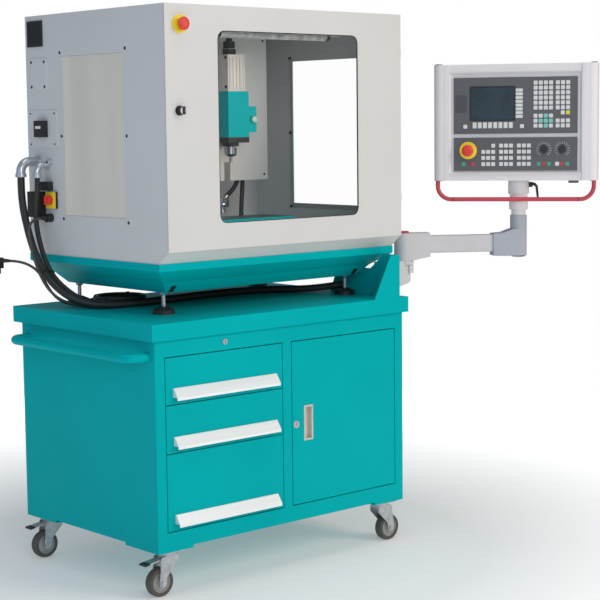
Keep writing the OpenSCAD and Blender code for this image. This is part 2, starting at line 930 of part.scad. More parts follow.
// Recessed pull with its cup, and the lock barrel beside it
module cupboard_pull() {
  flange = lock_d / 2 + 3;
  color(silver) {
    difference() {
      union() {
        span([pull_x - pull_w / 2, cab_front - pull_plate_t, pull_z - pull_h / 2],
          [pull_x + pull_w / 2, cab_front, pull_z + pull_h / 2]);
        span([pull_x - pull_w / 2 + pull_edge, cab_front, pull_z - pull_h / 2 + pull_edge],
          [pull_x + pull_w / 2 - pull_edge, cab_front + pull_cup_d,
           pull_z + pull_h / 2 - pull_edge]);
      }
      span([pull_x - pull_w / 2 + 2 * pull_edge, cab_front - pull_plate_t - cut,
         pull_z - pull_h / 2 + 2 * pull_edge],
        [pull_x + pull_w / 2 - 2 * pull_edge, cab_front + pull_cup_d - sheet,
         pull_z + pull_h / 2 - 2 * pull_edge]);
    }
    rod_y([cup_lock_x, cab_front - lock_out, pull_z], flange, lock_out);
    rod_y([cup_lock_x, cab_front - lock_out, pull_z], lock_d / 2, lock_out + door_pan_d);
  }
}

// Places a caster's pieces at a corner, with the trail to the left or right
module at_caster(sx, sy) {
  translate([sx * caster_x, sy * caster_y, 0])
    rotate(sx > 0 ? 0 : 180)
      children();
}

// Four bolted plates with their king pins
module caster_plates() {
  color(zinc)
    for (sx = [-1, 1], sy = [-1, 1])
      at_caster(sx, sy) {
        span([-plate_l / 2, -plate_w / 2, plate_z], [plate_l / 2, plate_w / 2, cab_lift]);
        rod_z([0, 0, plate_z - king_len], king_pin_d / 2, king_len);
      }
}

// Pressed fork: swivel head, bridge, two legs, axle bolt and pedal pin
module caster_fork(braked) {
  leg = [
    [-head_r + 4, bridge_z], [head_r, bridge_z], [pedal_x + 10, bridge_z - 4],
    [pedal_x + 10, pedal_z - 9], [caster_trail + 14, axle_z + 6],
    [caster_trail - 12, axle_z - 4], [caster_trail - 16, axle_z + 18], [-head_r + 4, bridge_z - 20]
  ];
  bolt_head = 4;
  color(zinc) {
    difference() {
      union() {
        rod_z([0, 0, bridge_z], head_r, swivel_h);
        span([-head_r + 4, -leg_y - leg_t, bridge_z - bridge_t],
          [head_r, leg_y + leg_t, bridge_z]);
      }
      rod_z([0, 0, bridge_z - bridge_t - cut], king_pin_d / 2 + run_gap,
         swivel_h + bridge_t + 2 * cut);
    }
    for (y = [-leg_y - leg_t, leg_y]) {
      along_y(y, y + leg_t, leg);
      rod_y([caster_trail, y, axle_z], 14, leg_t);
    }
    rod_y([caster_trail, -leg_y - leg_t - bolt_head, axle_z], axle_d / 2,
       2 * (leg_y + leg_t + bolt_head));
    for (y = [-leg_y - leg_t - bolt_head, leg_y + leg_t])
      rod_y([caster_trail, y, axle_z], 8, bolt_head);
    if (braked)
      rod_y([pedal_x, -leg_y - leg_t, pedal_z], pedal_pin_d / 2, 2 * (leg_y + leg_t));
  }
}

// Solid tyre on a webbed core, bored for the axle
module caster_wheel() {
  r = wheel_d / 2;
  h = wheel_w / 2;
  edge = 5;
  hub_r = 13;
  rim_r = r - 13;
  web = 5;
  color(rubber_grey)
    translate([caster_trail, 0, axle_z])
      rotate([90, 0, 0])
        rotate_extrude() {
          polygon([
            [axle_d / 2 + run_gap, -h], [hub_r, -h], [hub_r, -web], [rim_r, -web],
            [rim_r, -h + 2], [r - edge, -h], [r - 1, -h + edge], [r, 0],
            [r - 1, h - edge], [r - edge, h], [rim_r, h - 2], [rim_r, web],
            [hub_r, web], [hub_r, h], [axle_d / 2 + run_gap, h]
          ]);
        }
}

// Brake pedal turning on the fork's pin
module brake_pedal() {
  w = 2 * leg_y - 1;
  tread = [
    [pedal_x + 3, pedal_z + 3], [pedal_x + 14, pedal_z + 5],
    [pedal_x + pedal_len, pedal_z + 5 - pedal_fall],
    [pedal_x + pedal_len, pedal_z + 5 - pedal_fall - pedal_t],
    [pedal_x + 14, pedal_z + 5 - pedal_t], [pedal_x + 3, pedal_z - 1]
  ];
  color(dark)
    difference() {
      union() {
        rod_y([pedal_x, -w / 2, pedal_z], pedal_hub_r, w);
        along_y(-pedal_w / 2, pedal_w / 2, tread);
      }
      rod_y([pedal_x, -w, pedal_z], pedal_pin_d / 2 + run_gap, 2 * w);
    }
}

module caster_fork_fl() at_caster(-1, -1) caster_fork(true);

module caster_fork_fr() at_caster(1, -1) caster_fork(false);

module caster_fork_rl() at_caster(-1, 1) caster_fork(true);

module caster_fork_rr() at_caster(1, 1) caster_fork(false);

module caster_wheel_fl() at_caster(-1, -1) caster_wheel();

module caster_wheel_fr() at_caster(1, -1) caster_wheel();

module caster_wheel_rl() at_caster(-1, 1) caster_wheel();

module caster_wheel_rr() at_caster(1, 1) caster_wheel();

module brake_pedal_fl() at_caster(-1, -1) brake_pedal();

module brake_pedal_rl() at_caster(-1, 1) brake_pedal();

// Levelling feet: round pad, stud and lock nut under each skid tube
module levelling_feet() {
  rib = 3;
  color(dark)
    for (x = skid_xs, y = foot_ys)
      translate([x + skid_w / 2, y, top_z])
        rotate_extrude()
          polygon([
            [0, 0], [foot_d / 2, 0], [foot_d / 2, foot_h / 2], [foot_d / 2 - rib, foot_h / 2 + rib],
            [stud_nut_d / 2, foot_h], [stud_d / 2, foot_h], [stud_d / 2, tray_gap - stud_nut_h],
            [stud_nut_d / 2, tray_gap - stud_nut_h], [stud_nut_d / 2, tray_gap], [0, tray_gap]
          ]);
}

// Section through one side of the tray, in from the lip and up from the base
function tray_side(t) = [
  [tray_in + t, tray_z0], [bevel_in + t, tray_z1], [t, tray_z2], [t, enc_z0]
];
function mirrored(points, width) = [
  for (i = [len(points) - 1:-1:0]) [width - points[i][0], points[i][1]]
];
function tray_section(start, width, t) = [
  for (p = concat(tray_side(t), mirrored(tray_side(t), width))) [start + p[0], p[1]]
];

module tray_solid(t) {
  x0 = enc_x0 - lip_out;
  y0 = tray_front - lip_out;
  wide = enc_w + 2 * lip_out;
  deep = enc_y1 + lip_out - y0;
  intersection() {
    along_y(y0 + t, y0 + deep - t, tray_section(x0, wide, t));
    along_x(x0 + t, x0 + wide - t, tray_section(y0, deep, t));
  }
}

// Chip tray: sloped sheet trough with a floor, a rim and two square skid tubes
module chip_tray() {
  x0 = enc_x0 - lip_out;
  x1 = enc_x1 + lip_out;
  y0 = tray_front - lip_out;
  y1 = enc_y1 + lip_out;
  color(teal) {
    difference() {
      union() {
        difference() {
          tray_solid(0);
          tray_solid(tray_wall);
        }
        intersection() {
          tray_solid(0);
          span([x0, y0, tray_floor], [x1, y1, tray_floor + tray_wall]);
        }
        difference() {
          span([x0, y0, enc_z0 - tray_wall], [x1, y1, enc_z0]);
          span([x0 + rim_w, y0 + rim_w, enc_z0 - tray_wall - cut],
            [x1 - rim_w, y1 - rim_w, enc_z0 + cut]);
        }
        for (x = skid_xs)
          span([x, skid_y0, tray_z0], [x + skid_w, skid_y1, tray_floor]);
      }
      for (x = skid_xs)
        span([x + skid_wall, y0, tray_z0 + skid_wall],
          [x + skid_w - skid_wall, y1, tray_floor - skid_wall]);
    }
  }
}

// Outline of the guarding's side as [y, z]
function shell_side(t) = [
  [shell_y0 + t, enc_z1 - t], [enc_y1 - t, enc_z1 - t], [enc_y1 - t, enc_z0 - (t > 0 ? cut : 0)],
  [tray_front + t, enc_z0 - (t > 0 ? cut : 0)], [shell_y0 + t, door_z0]
];

// Guarding shell: roof, sides, back and sloped front strip, with hinge leaves and pins
module enclosure_shell() {
  f = frame_flange;
  color(guard_grey) {
    difference() {
      union() {
        difference() {
          along_x(enc_x0, enc_x1, shell_side(0));
          along_x(enc_x0 + enc_wall, enc_x1 - enc_wall, shell_side(enc_wall));
        }
        difference() {
          span([enc_x0, tray_front, enc_z0], [enc_x1, enc_y1, enc_z0 + enc_wall]);
          span([enc_x0 + rim_w, tray_front + rim_w, enc_z0 - cut],
            [enc_x1 - rim_w, enc_y1 - rim_w, enc_z0 + enc_wall + cut]);
        }
      }
      span([enc_x0 + f, shell_y0 - cut, door_z0 + f],
        [enc_x1 - f, shell_y0 + enc_wall + cut, enc_z1 - f]);
      for (x = [enc_x0, enc_x1 - enc_wall])
        span([x - cut, side_win_y0, side_win_z0],
          [x + enc_wall + cut, side_win_y1, side_win_z1]);
    }
    for (z = hinge_zs)
      for (k = [0, 2])
        translate([0, 0, z + k * knuckle_h]) {
          rod_z([hinge_x, hinge_y, 0], knuckle_r, knuckle_h);
          span([enc_x1, hinge_y, 0], [enc_x1 + leaf_t, hinge_y + 24, knuckle_h]);
          span([enc_x1, hinge_y, 0], [hinge_x, hinge_y + knuckle_r, knuckle_h]);
        }
    for (z = hinge_zs)
      rod_z([hinge_x, hinge_y, z], door_pin_d / 2, 3 * knuckle_h);
  }
}

// Guard door: skin with a rounded window, stiffening ring, stop collar and hinge knuckles
module front_door() {
  color(guard_grey)
    difference() {
      union() {
        span([enc_x0, enc_y0, door_z0], [enc_x1, enc_y0 + door_skin, enc_z1]);
        sheet_ring(enc_x0 + ring_in, enc_x1 - ring_in, door_z0 + ring_in, enc_z1 - ring_in,
             enc_y0, enc_y0 + ring_d, door_skin);
        rod_y([door_stop_x, enc_y0 - collar_h, door_stop_z], stop_collar_d / 2, collar_h);
        rod_y([door_stop_x, enc_y0, door_stop_z], stop_neck_d / 2, ring_d);
        rod_y([knob_x, enc_y0, knob_z], knob_r, ring_d);
        for (z = hinge_zs)
          translate([0, 0, z + knuckle_h + knuckle_gap]) {
            h = knuckle_h - 2 * knuckle_gap;
            rod_z([hinge_x, hinge_y, 0], knuckle_r, h);
            span([enc_x1, enc_y0, 0], [enc_x1 + leaf_t, hinge_y, h]);
            span([enc_x1, hinge_y - knuckle_r, 0], [hinge_x, hinge_y, h]);
          }
      }
      translate([win_x, enc_y0 + door_skin + cut, win_z])
        rotate([90, 0, 0])
          linear_extrude(door_skin + 2 * cut)
            rounded_rect(win_w, win_h, win_r);
      rod_y([door_stop_x, enc_y0 - collar_h - cut, door_stop_z], collar_bore_d / 2,
         collar_h + ring_d + 2 * cut);
      rod_y([knob_x, enc_y0 - cut, knob_z], knob_shaft_d / 2 + run_gap, ring_d + 2 * cut);
      for (z = hinge_zs)
        rod_z([hinge_x, hinge_y, z], door_pin_d / 2 + run_gap, 3 * knuckle_h);
    }
}

// Clear pane behind the door's window
module door_pane() {
  color(clear)
    translate([win_x, enc_y0 + door_skin + pane_t, win_z])
      rotate([90, 0, 0])
        linear_extrude(pane_t)
          rounded_rect(win_w + 2 * pane_lap, win_h + 2 * pane_lap, win_r);
}

// Clear panes inside the two side openings
module side_panes() {
  color(clear)
    for (x = [enc_x0 + enc_wall, enc_x1 - enc_wall - pane_t])
      span([x, side_win_y0 - pane_lap, side_win_z0 - pane_lap],
        [x + pane_t, side_win_y1 + pane_lap, side_win_z1 + pane_lap]);
}

// Door knob on its shaft, with the latch tongue behind the frame
module door_knob() {
  wing = 7;
  tongue_t = 4;
  y1 = enc_y0 + ring_d;
  color(dark)
    union() {
      rod_y([knob_x, enc_y0 - knob_out, knob_z], knob_r, knob_out - 4);
      rod_y([knob_x, enc_y0 - 4, knob_z], knob_r + 3, 4);
      span([knob_x - wing / 2, enc_y0 - knob_out - 6, knob_z - knob_r],
        [knob_x + wing / 2, enc_y0 - knob_out, knob_z + knob_r]);
      rod_y([knob_x, enc_y0 - 4, knob_z], knob_shaft_d / 2, ring_d + 4 + tongue_t);
      span([knob_x - 7, y1, knob_z - 7], [knob_x + 7, y1 + tongue_t, knob_z + latch_l]);
    }
}

// Stop button mushroom with its shaft, standing clear of the collar by its travel
module stop_button(reach) {
  color(stop_red)
    rotate_extrude()
      polygon([
        [0, -reach], [stop_shaft_d / 2, -reach], [stop_shaft_d / 2, stop_clear],
        [stop_neck_d / 2, stop_clear], [stop_neck_d / 2, stop_clear + 4],
        [stop_d / 2 - 2, stop_clear + 7], [stop_d / 2, stop_clear + 10],
        [stop_d / 2, stop_clear + 13], [stop_d / 2 - 4, stop_clear + 16],
        [stop_d / 4, stop_clear + stop_cap_h], [0, stop_clear + stop_cap_h]
      ]);
}

module door_stop() {
  translate([door_stop_x, enc_y0 - collar_h, door_stop_z])
    rotate([90, 0, 0])
      stop_button(stop_shaft_len);
}

// Lamp trough under the roof with a round diffuser
module lamp() {
  x0 = enc_shift - lamp_len / 2;
  z1 = enc_z1 - enc_wall;
  wall = 2;
  color(guard_grey)
    difference() {
      span([x0, lamp_y, z1 - lamp_h], [x0 + lamp_len, lamp_y + lamp_d, z1]);
      span([enc_shift - diffuser_len / 2, lamp_y + wall, z1 - lamp_h - cut],
         [enc_shift + diffuser_len / 2, lamp_y + lamp_d - wall, z1 - wall]);
    }
  color(clear)
    rod_x([enc_shift - diffuser_len / 2 - wall, lamp_y + lamp_d / 2, z1 - lamp_h], diffuser_r,
        diffuser_len + 2 * wall);
}

// Vent grille, cover plates, sockets, switch plate and gland on the left side
module side_fittings() {
  x = enc_x0;
  color(dark) {
    difference() {
      span([x - vent_t, vent_y - vent_w / 2, vent_z - vent_h / 2],
        [x, vent_y + vent_w / 2, vent_z + vent_h / 2]);
      for (k = [1:floor(vent_h / vent_slat) - 2])
        span([x - vent_t - cut, vent_y - vent_w / 2 + vent_slat,
           vent_z - vent_h / 2 + (k + 0.25) * vent_slat],
          [x - vent_t / 2, vent_y + vent_w / 2 - vent_slat,
           vent_z - vent_h / 2 + (k + 0.75) * vent_slat]);
    }
    span([x - plate_th, blank_y - blank_w / 2, blank_z - blank_h / 2],
      [x, blank_y + blank_w / 2, blank_z + blank_h / 2]);
    span([x - plate_th, socket_y - socket_plate_w / 2, socket_z - socket_plate_h / 2],
      [x, socket_y + socket_plate_w / 2, socket_z + socket_plate_h / 2]);
    span([x - plate_th - socket_d, socket_y - socket_w / 2, socket_z - socket_h / 2],
      [x - plate_th, socket_y + socket_w / 2, socket_z + socket_h / 2]);
    span([x - hood_d, hood_y - hood_w / 2, hood_z - hood_h / 2],
      [x, hood_y + hood_w / 2, hood_z + hood_h / 2]);
    span([x - clip_d, clip_y - clip_w / 2, clip_z - clip_h / 2],
      [x, clip_y + clip_w / 2, clip_z + clip_h / 2]);
    difference() {
      span([x - switch_t, switch_y - switch_w / 2, switch_z - switch_h / 2],
        [x, switch_y + switch_w / 2, switch_z + switch_h / 2]);
      rod_x([x - switch_t - cut, switch_y, switch_z], dial_shaft_d / 2 + run_gap, switch_t);
    }
    rod_x([x - gland_len, gland_y, gland_z], gland_r, gland_len);
    translate([x - gland_len, gland_y, gland_z])
      rotate([0, -90, 0])
        cylinder(r1 = gland_r - boot_step, r2 = lead_d / 2, h = boot_len);
  }
}

// Rotary main switch knob with its grip bar
module main_switch_knob() {
  x = enc_x0 - switch_t;
  color(stop_red) {
    rod_x([x - switch_out, switch_y, switch_z], switch_r, switch_out - dial_gap);
    rod_x([x - dial_gap, switch_y, switch_z], dial_shaft_d / 2, switch_t - cut);
    span([x - switch_out - 6, switch_y - 4, switch_z - switch_r],
      [x - switch_out, switch_y + 4, switch_z + switch_r]);
  }
}

// One chromed elbow: flange, quarter bend and a ferrule that the hose meets
module hose_elbow(y, z, out, bend, d) {
  r = d / 2 + ferrule_wall;
  flange = 6;
  translate([enc_x0, y, z]) {
    rod_x([-flange, 0, 0], r + 6, flange);
    rod_x([-(out - bend), 0, 0], r, out - bend);
    translate([-(out - bend), 0, -bend])
      rotate([90, 0, 0])
        rotate(90)
          rotate_extrude(angle = 90)
            translate([bend, 0])
              circle(r);
    rod_z([-out, 0, -bend - elbow_drop], r, elbow_drop);
    rod_z([-out, 0, -bend - elbow_drop], r + 3, elbow_drop - 4);
  }
}

module hose_elbows() {
  color(silver) {
    hose_elbow(elbow_1_y, elbow_1_z, elbow_1_out, elbow_1_bend, conduit_big_d);
    hose_elbow(elbow_2_y, elbow_2_z, elbow_2_out, elbow_2_bend, conduit_small_d);
  }
}

// Cast mill base with its upright ways
module mill_base() {
  z1 = tray_floor + tray_wall + base_h - tray_wall;
  foot = 20;
  color(teal_dark) {
    span([mill_x - base_w / 2 - foot, base_front, tray_floor + tray_wall],
      [mill_x + base_w / 2 + foot, base_back, tray_floor + foot]);
    span([mill_x - base_w / 2, base_front + foot, tray_floor + foot],
      [mill_x + base_w / 2, base_back, z1 - dovetail]);
    along_y(base_front + foot, column_y0, [
      [mill_x - base_w / 2 + 2 * dovetail, z1 - dovetail],
      [mill_x + base_w / 2 - 2 * dovetail, z1 - dovetail],
      [mill_x + base_w / 2 - dovetail, z1], [mill_x - base_w / 2 + dovetail, z1]
    ]);
  }
}

// Column casting with guide rails, and the slotted sheet cover in front of it
module mill_column() {
  z0 = tray_floor + base_h - dovetail;
  side = 60;
  color(guard_grey) {
    span([mill_x - column_w / 2, column_y0, z0], [mill_x + column_w / 2, column_y0 + column_d, column_top]);
    for (s = [-1, 1])
      span([mill_x + s * slot_gap / 2 - rail_w / 2, column_y0 - rail_h, table_z + 60],
        [mill_x + s * slot_gap / 2 + rail_w / 2, column_y0, column_top]);
    difference() {
      span([mill_x - cover_w / 2, cover_y, cover_z0], [mill_x + cover_w / 2, cover_y + side, cover_top]);
      span([mill_x - cover_w / 2 + cover_t, cover_y + cover_t, cover_z0 - cut],
        [mill_x + cover_w / 2 - cover_t, cover_y + side + cut, cover_top - cover_t]);
      for (s = [-1, 1])
        span([mill_x + s * slot_gap / 2 - slot_w / 2, cover_y - cut, slot_z0],
          [mill_x + s * slot_gap / 2 + slot_w / 2, cover_y + cover_t + cut, slot_z1]);
    }
    span([mill_x - column_w / 2, cover_y + cover_t, cover_top - 40],
      [mill_x + column_w / 2, column_y0 + column_d, cover_top - cover_t]);
    span([mill_x - column_w / 2, column_y0, column_top],
      [mill_x + column_w / 2, column_y0 + column_d, cover_top - 40]);
  }
}

// Saddle that slides front to back on the base
module mill_saddle() {
  z0 = tray_floor + base_h;
  w = base_w - 20;
  y0 = spindle_y - table_w / 2 + 6;
  y1 = spindle_y + table_w / 2 - 6;
  g = way_gap;
  color(teal_dark)
    difference() {
      span([mill_x - w / 2, y0, z0 - dovetail + g], [mill_x + w / 2, y1, z0 + saddle_h]);
      along_y(y0 - cut, y1 + cut, [
        [mill_x - base_w / 2 + 2 * dovetail - g, z0 - dovetail - cut],
        [mill_x + base_w / 2 - 2 * dovetail + g, z0 - dovetail - cut],
        [mill_x + base_w / 2 - 2 * dovetail + g, z0 - dovetail],
        [mill_x + base_w / 2 - dovetail + g, z0],
        [mill_x - base_w / 2 + dovetail - g, z0],
        [mill_x - base_w / 2 + 2 * dovetail - g, z0 - dovetail]
      ]);
    }
}

// Slotted table that slides left and right on the saddle
module mill_table() {
  z1 = table_z;
  z0 = z1 - table_t;
  x0 = mill_x - table_len / 2;
  y0 = spindle_y - table_w / 2;
  pitch = table_w / tslot_n;
  color(dark)
    difference() {
      span([x0, y0, z0], [x0 + table_len, y0 + table_w, z1]);
      for (k = [0:tslot_n - 1])
        translate([0, y0 + (k + 0.5) * pitch, 0]) {
          span([x0 - cut, -tslot_w / 2, z1 - tslot_w], [x0 + table_len + cut, tslot_w / 2, z1 + cut]);
          span([x0 - cut, -tslot_w, z1 - 2 * tslot_w],
            [x0 + table_len + cut, tslot_w, z1 - tslot_w]);
        }
    }
}

// Head casting on its carriage, with the bars through the cover and the side box
module mill_head() {
  z1 = head_z0 + head_h;
  carriage_y = cover_y - carriage_gap - carriage_t;
  bar_z = head_z0 + head_h / 2;
  bore = spindle_d / 2 + run_gap;
  carriage_z = head_z0 + carriage_lift;
  box_x = mill_x + head_w / 2;
  box_y = head_y0 + box_back;
  box_z = head_z0 + box_lift;
  color(teal)
    difference() {
      union() {
        span([mill_x - head_w / 2, head_y0, head_z0], [mill_x + head_w / 2, head_y1, z1]);
        span([mill_x - carriage_w / 2, carriage_y, carriage_z],
          [mill_x + carriage_w / 2, carriage_y + carriage_t, carriage_z + carriage_h]);
        span([mill_x - head_w / 2, head_y1, carriage_z], [mill_x + head_w / 2, carriage_y, z1]);
        for (s = [-1, 1])
          translate([mill_x + s * slot_gap / 2, 0, bar_z])
            span([-slot_w / 2 + bar_fit, carriage_y + carriage_t, -arm_bar_h / 2],
              [slot_w / 2 - bar_fit, column_y0 - rail_h - way_gap, arm_bar_h / 2]);
        span([box_x, box_y, box_z], [box_x + box_w, box_y + box_d, box_z + box_h]);
        span([mill_x - head_w / 2, head_y0, head_z0 - nose_plate_h],
          [mill_x + head_w / 2, head_y1, head_z0]);
        rod_z([mill_x, spindle_y, head_z0 - nose_h], nose_r, nose_h);
        rod_y([box_x + box_w / 2 + button_side, box_y - button_out, box_z + box_h / 2],
           button_r, button_out);
      }
      rod_z([mill_x, spindle_y, head_z0 - nose_h - cut], bore, nose_h + bore_top + cut);
    }
}

// Finned spindle motor on top of the head
module spindle_motor() {
  z0 = head_z0 + head_h;
  w = motor_w / 2;
  pitch = motor_w / fin_n;
  cap = 8;
  color(silver) {
    difference() {
      span([mill_x - w, spindle_y - w, z0], [mill_x + w, spindle_y + w, z0 + motor_h]);
      for (k = [0:fin_n - 1]) {
        a = -w + (k + 0.5) * pitch;
        span([mill_x + a - fin_d / 2, spindle_y - w - cut, z0 + cap],
          [mill_x + a + fin_d / 2, spindle_y - w + fin_d, z0 + motor_h - cap]);
        span([mill_x - w - cut, spindle_y + a - fin_d / 2, z0 + cap],
          [mill_x - w + fin_d, spindle_y + a + fin_d / 2, z0 + motor_h - cap]);
        span([mill_x + w - fin_d, spindle_y + a - fin_d / 2, z0 + cap],
          [mill_x + w + cut, spindle_y + a + fin_d / 2, z0 + motor_h - cap]);
      }
    }
    rod_z([mill_x, spindle_y, z0 + motor_h], w * 0.6, 20);
  }
}

// Spindle with its nose, collet nut and cutter
module spindle() {
  top = nose_h + bore_top - 8;
  nut_r = 21;
  r = spindle_d / 2;
  z = head_z0 - nose_h;
  color(zinc)
    translate([mill_x, spindle_y, z])
      rotate_extrude()
        polygon([
          [0, top], [r, top], [r, -4], [nut_r, -4], [nut_r, -spindle_out + 8],
          [nut_r - 7, -spindle_out], [tool_d / 2, -spindle_out],
          [tool_d / 2, -spindle_out - tool_len], [0, -spindle_out - tool_len]
        ]);
}

// Welded bracket on the worktop: front gusset and side plate that clears the tray
module arm_bracket() {
  y0 = top_front;
  z1 = top_z + bracket_h;
  low = tray_z0 + bracket_rise;
  plate = [
    [y0, top_z], [y0 + bracket_foot, top_z], [y0 + bracket_foot - bracket_toe, low],
    [y0 + bracket_step, low], [y0 + bracket_head, z1], [y0, z1]
  ];
  color(teal) {
    along_x(plate_x - gusset_t, plate_x, plate);
    along_y(y0, y0 + gusset_t, [
      [plate_x - gusset_base, top_z], [plate_x, top_z], [plate_x, z1], [plate_x - gusset_top, z1]
    ]);
  }
}

// Cast wall mount with the vertical pivot pin
module arm_mount() {
  z0 = mount_top - mount_h;
  base_d = 62;
  base_t = 10;
  toe = 26;
  stop_w = 20;
  color(arm_grey) {
    span([plate_x, pivot_y - base_d / 2, z0], [plate_x + base_t, pivot_y + base_d / 2, mount_top]);
    intersection() {
      along_y(pivot_y - mount_w / 2, pivot_y + mount_w / 2, [
        [plate_x, z0], [pivot_x, z0 + toe], [pivot_x + block_r, z0 + toe + 22],
        [pivot_x + block_r, mount_top], [plate_x, mount_top]
      ]);
      union() {
        span([plate_x, pivot_y - mount_w / 2, z0], [pivot_x, pivot_y + mount_w / 2, mount_top]);
        rod_z([pivot_x, pivot_y, z0], mount_w / 2, mount_h);
      }
    }
    rod_z([pivot_x, pivot_y, mount_top - 14], block_r - 2, 14);
    rod_z([pivot_x, pivot_y, mount_top], pivot_pin_d / 2, block_top - mount_top - 12);
    span([pivot_x - 2, pivot_y - mount_w / 2 - 6, mount_top - 44],
      [pivot_x + stop_w - 2, pivot_y - mount_w / 2 + 8, mount_top - 16]);
  }
}

// Places a shape on the arm, with X along it from the pivot
module on_arm() translate([pivot_x, pivot_y, 0]) rotate(-arm_turn) children();

// Cast block turning on the pivot pin, with the tube's socket and a cap on top
module arm_pivot_block() {
  w = arm_tube_w / 2 + 7;
  z0 = mount_top + turn_gap;
  side = [
    [-block_r, z0], [24, z0], [block_len, block_low],
    [block_len, block_top], [-block_r, block_top]
  ];
  cap_r = 16;
  cap_h = 6;
  color(arm_grey)
    on_arm()
      difference() {
        union() {
          rod_z([0, 0, z0], block_r, block_top - z0);
          intersection() {
            along_y(-block_r, block_r, side);
            translate([0, 0, z0])
              linear_extrude(block_top - z0)
                polygon([[0, -block_r], [block_len, -w], [block_len, w], [0, block_r]]);
          }
          rod_z([0, 0, block_top], cap_r, cap_h);
        }
        rod_z([0, 0, mount_top - cut], pivot_pin_d / 2 + run_gap, block_top - mount_top - 10 + cut);
        tube_socket(block_len - socket_in, block_len + cut);
      }
}

// Pocket that the arm's tube sits in
module tube_socket(x0, x1) {
  span([x0, -arm_tube_w / 2 - socket_fit, arm_z - arm_tube_h / 2 - socket_fit],
    [x1, arm_tube_w / 2 + socket_fit, arm_z + arm_tube_h / 2 + socket_fit]);
}

// Extruded arm tube with rounded corners
module arm_tube() {
  x0 = block_len - socket_in;
  x1 = arm_len - elbow_reach + socket_in;
  edge = 8;
  color(arm_grey)
    on_arm()
      translate([x0, 0, arm_z])
        rotate([90, 0, 90])
          linear_extrude(x1 - x0)
            difference() {
              rounded_rect(arm_tube_w, arm_tube_h, edge);
              rounded_rect(arm_tube_w - 2 * arm_tube_wall, arm_tube_h - 2 * arm_tube_wall,
                    edge - arm_tube_wall);
            }
}

// Cast elbow: tube socket, upright with the spigot's bore, and a cap below
module arm_elbow() {
  x0 = arm_len - elbow_reach;
  w = arm_tube_w / 2 + 7;
  r = elbow_d / 2;
  cap_h = 4;
  color(arm_grey)
    on_arm()
      difference() {
        union() {
          rod_z([arm_len, 0, elbow_low], r, elbow_high - elbow_low);
          intersection() {
            along_y(-r, r, [
              [x0, elbow_low], [arm_len, elbow_low], [arm_len, arm_z + 48],
              [arm_len - r, arm_z + 47], [x0, arm_z + 36]
            ]);
            translate([0, 0, elbow_low])
              linear_extrude(elbow_high - elbow_low)
                polygon([[x0, -w], [arm_len, -r], [arm_len, r], [x0, w]]);
          }
          rod_z([arm_len, 0, elbow_low - cap_h], r - 5, cap_h);
        }
        rod_z([arm_len, 0, elbow_high - spigot_len - 4], spigot_d / 2 + run_gap, spigot_len + 4 + cut);
        tube_socket(x0 - cut, x0 + socket_in);
      }
}

// Places a shape on the pendant, with X across its face and Y away from the operator
module on_pendant() translate([elbow_x, elbow_y, 0]) rotate(-pendant_turn) children();

// Panel housing with rounded side columns and a recessed face, on its turned column
module pendant_housing() {
  z0 = pendant_z;
  z1 = pendant_z + pendant_h;
  y1 = face_y + pendant_d;
  half = pendant_w / 2;
  step = 8;
  wall = 3;
  neck_z = elbow_high + neck_h;
  neck_low = elbow_high + turn_gap;
  color(guard_grey)
    on_pendant() {
      difference() {
        translate([pendant_shift, 0, 0]) {
          span([-half + side_col, face_y + step / 2, z0], [half - side_col, y1, z1]);
          for (s = [-1, 1])
            translate([s * (half - side_col / 2 - 0.5), (face_y + y1 - step) / 2, z0])
              linear_extrude(pendant_h)
                rounded_rect(side_col + 1, pendant_d - step, side_r);
        }
        translate([pendant_shift, 0, 0]) {
          span([-half + side_col - wall, floor_y + wall, z0 + wall],
             [half - side_col + wall, y1 - wall, z1 - wall]);
          for (s = [-1, 1])
            translate([s * (half - side_col / 2 - 0.5), (face_y + y1 - step) / 2, z0 + wall])
              linear_extrude(pendant_h - 2 * wall)
                rounded_rect(side_col + 1 - 2 * wall, pendant_d - step - 2 * wall, side_r - wall);
        }
        span([pendant_shift - recess_w / 2, face_y - cut, z0 + recess_top - 4],
          [pendant_shift + recess_w / 2, floor_y, z1 - recess_top]);
        for (x = dial_xs)
          rod_y([pendant_shift + x, floor_y - cut, dial_z], dial_shaft_d / 2 + 1, 14);
        rod_y([pendant_shift + stop_x, floor_y - cut, stop_z], stop_shaft_d / 2 + 1, stop_shaft_len + 6);
      }
      difference() {
        rotate_extrude()
          polygon([
            [0, elbow_high - spigot_len], [spigot_d / 2, elbow_high - spigot_len],
            [spigot_d / 2, neck_low], [neck_d / 2, neck_low], [neck_d / 2, neck_z],
            [flange_d / 2 - 4, neck_z], [flange_d / 2 - 3, neck_z + 42],
            [flange_d / 2 - 6, neck_z + 46], [flange_d / 2 - 6, neck_z + 50],
            [flange_d / 2, neck_z + 56], [flange_d / 2, z0], [0, z0]
          ]);
        rod_x([flange_d / 2 - lever_in - cut, 0, lever_z], lever_screw_d / 2 + run_gap, lever_in + 2 * cut);
      }
    }
}

// A block of raised keys, counted right and down from its top left key
module keys(x, z, nx, nz, pitch, w, h) {
  for (c = [0:nx - 1], r = [0:nz - 1])
    translate([x + c * pitch[0], panel_y - key_rise, z - r * pitch[1]])
      translate([-w / 2, 0, -h / 2])
        cube([w, 2 * key_rise, h]);
}

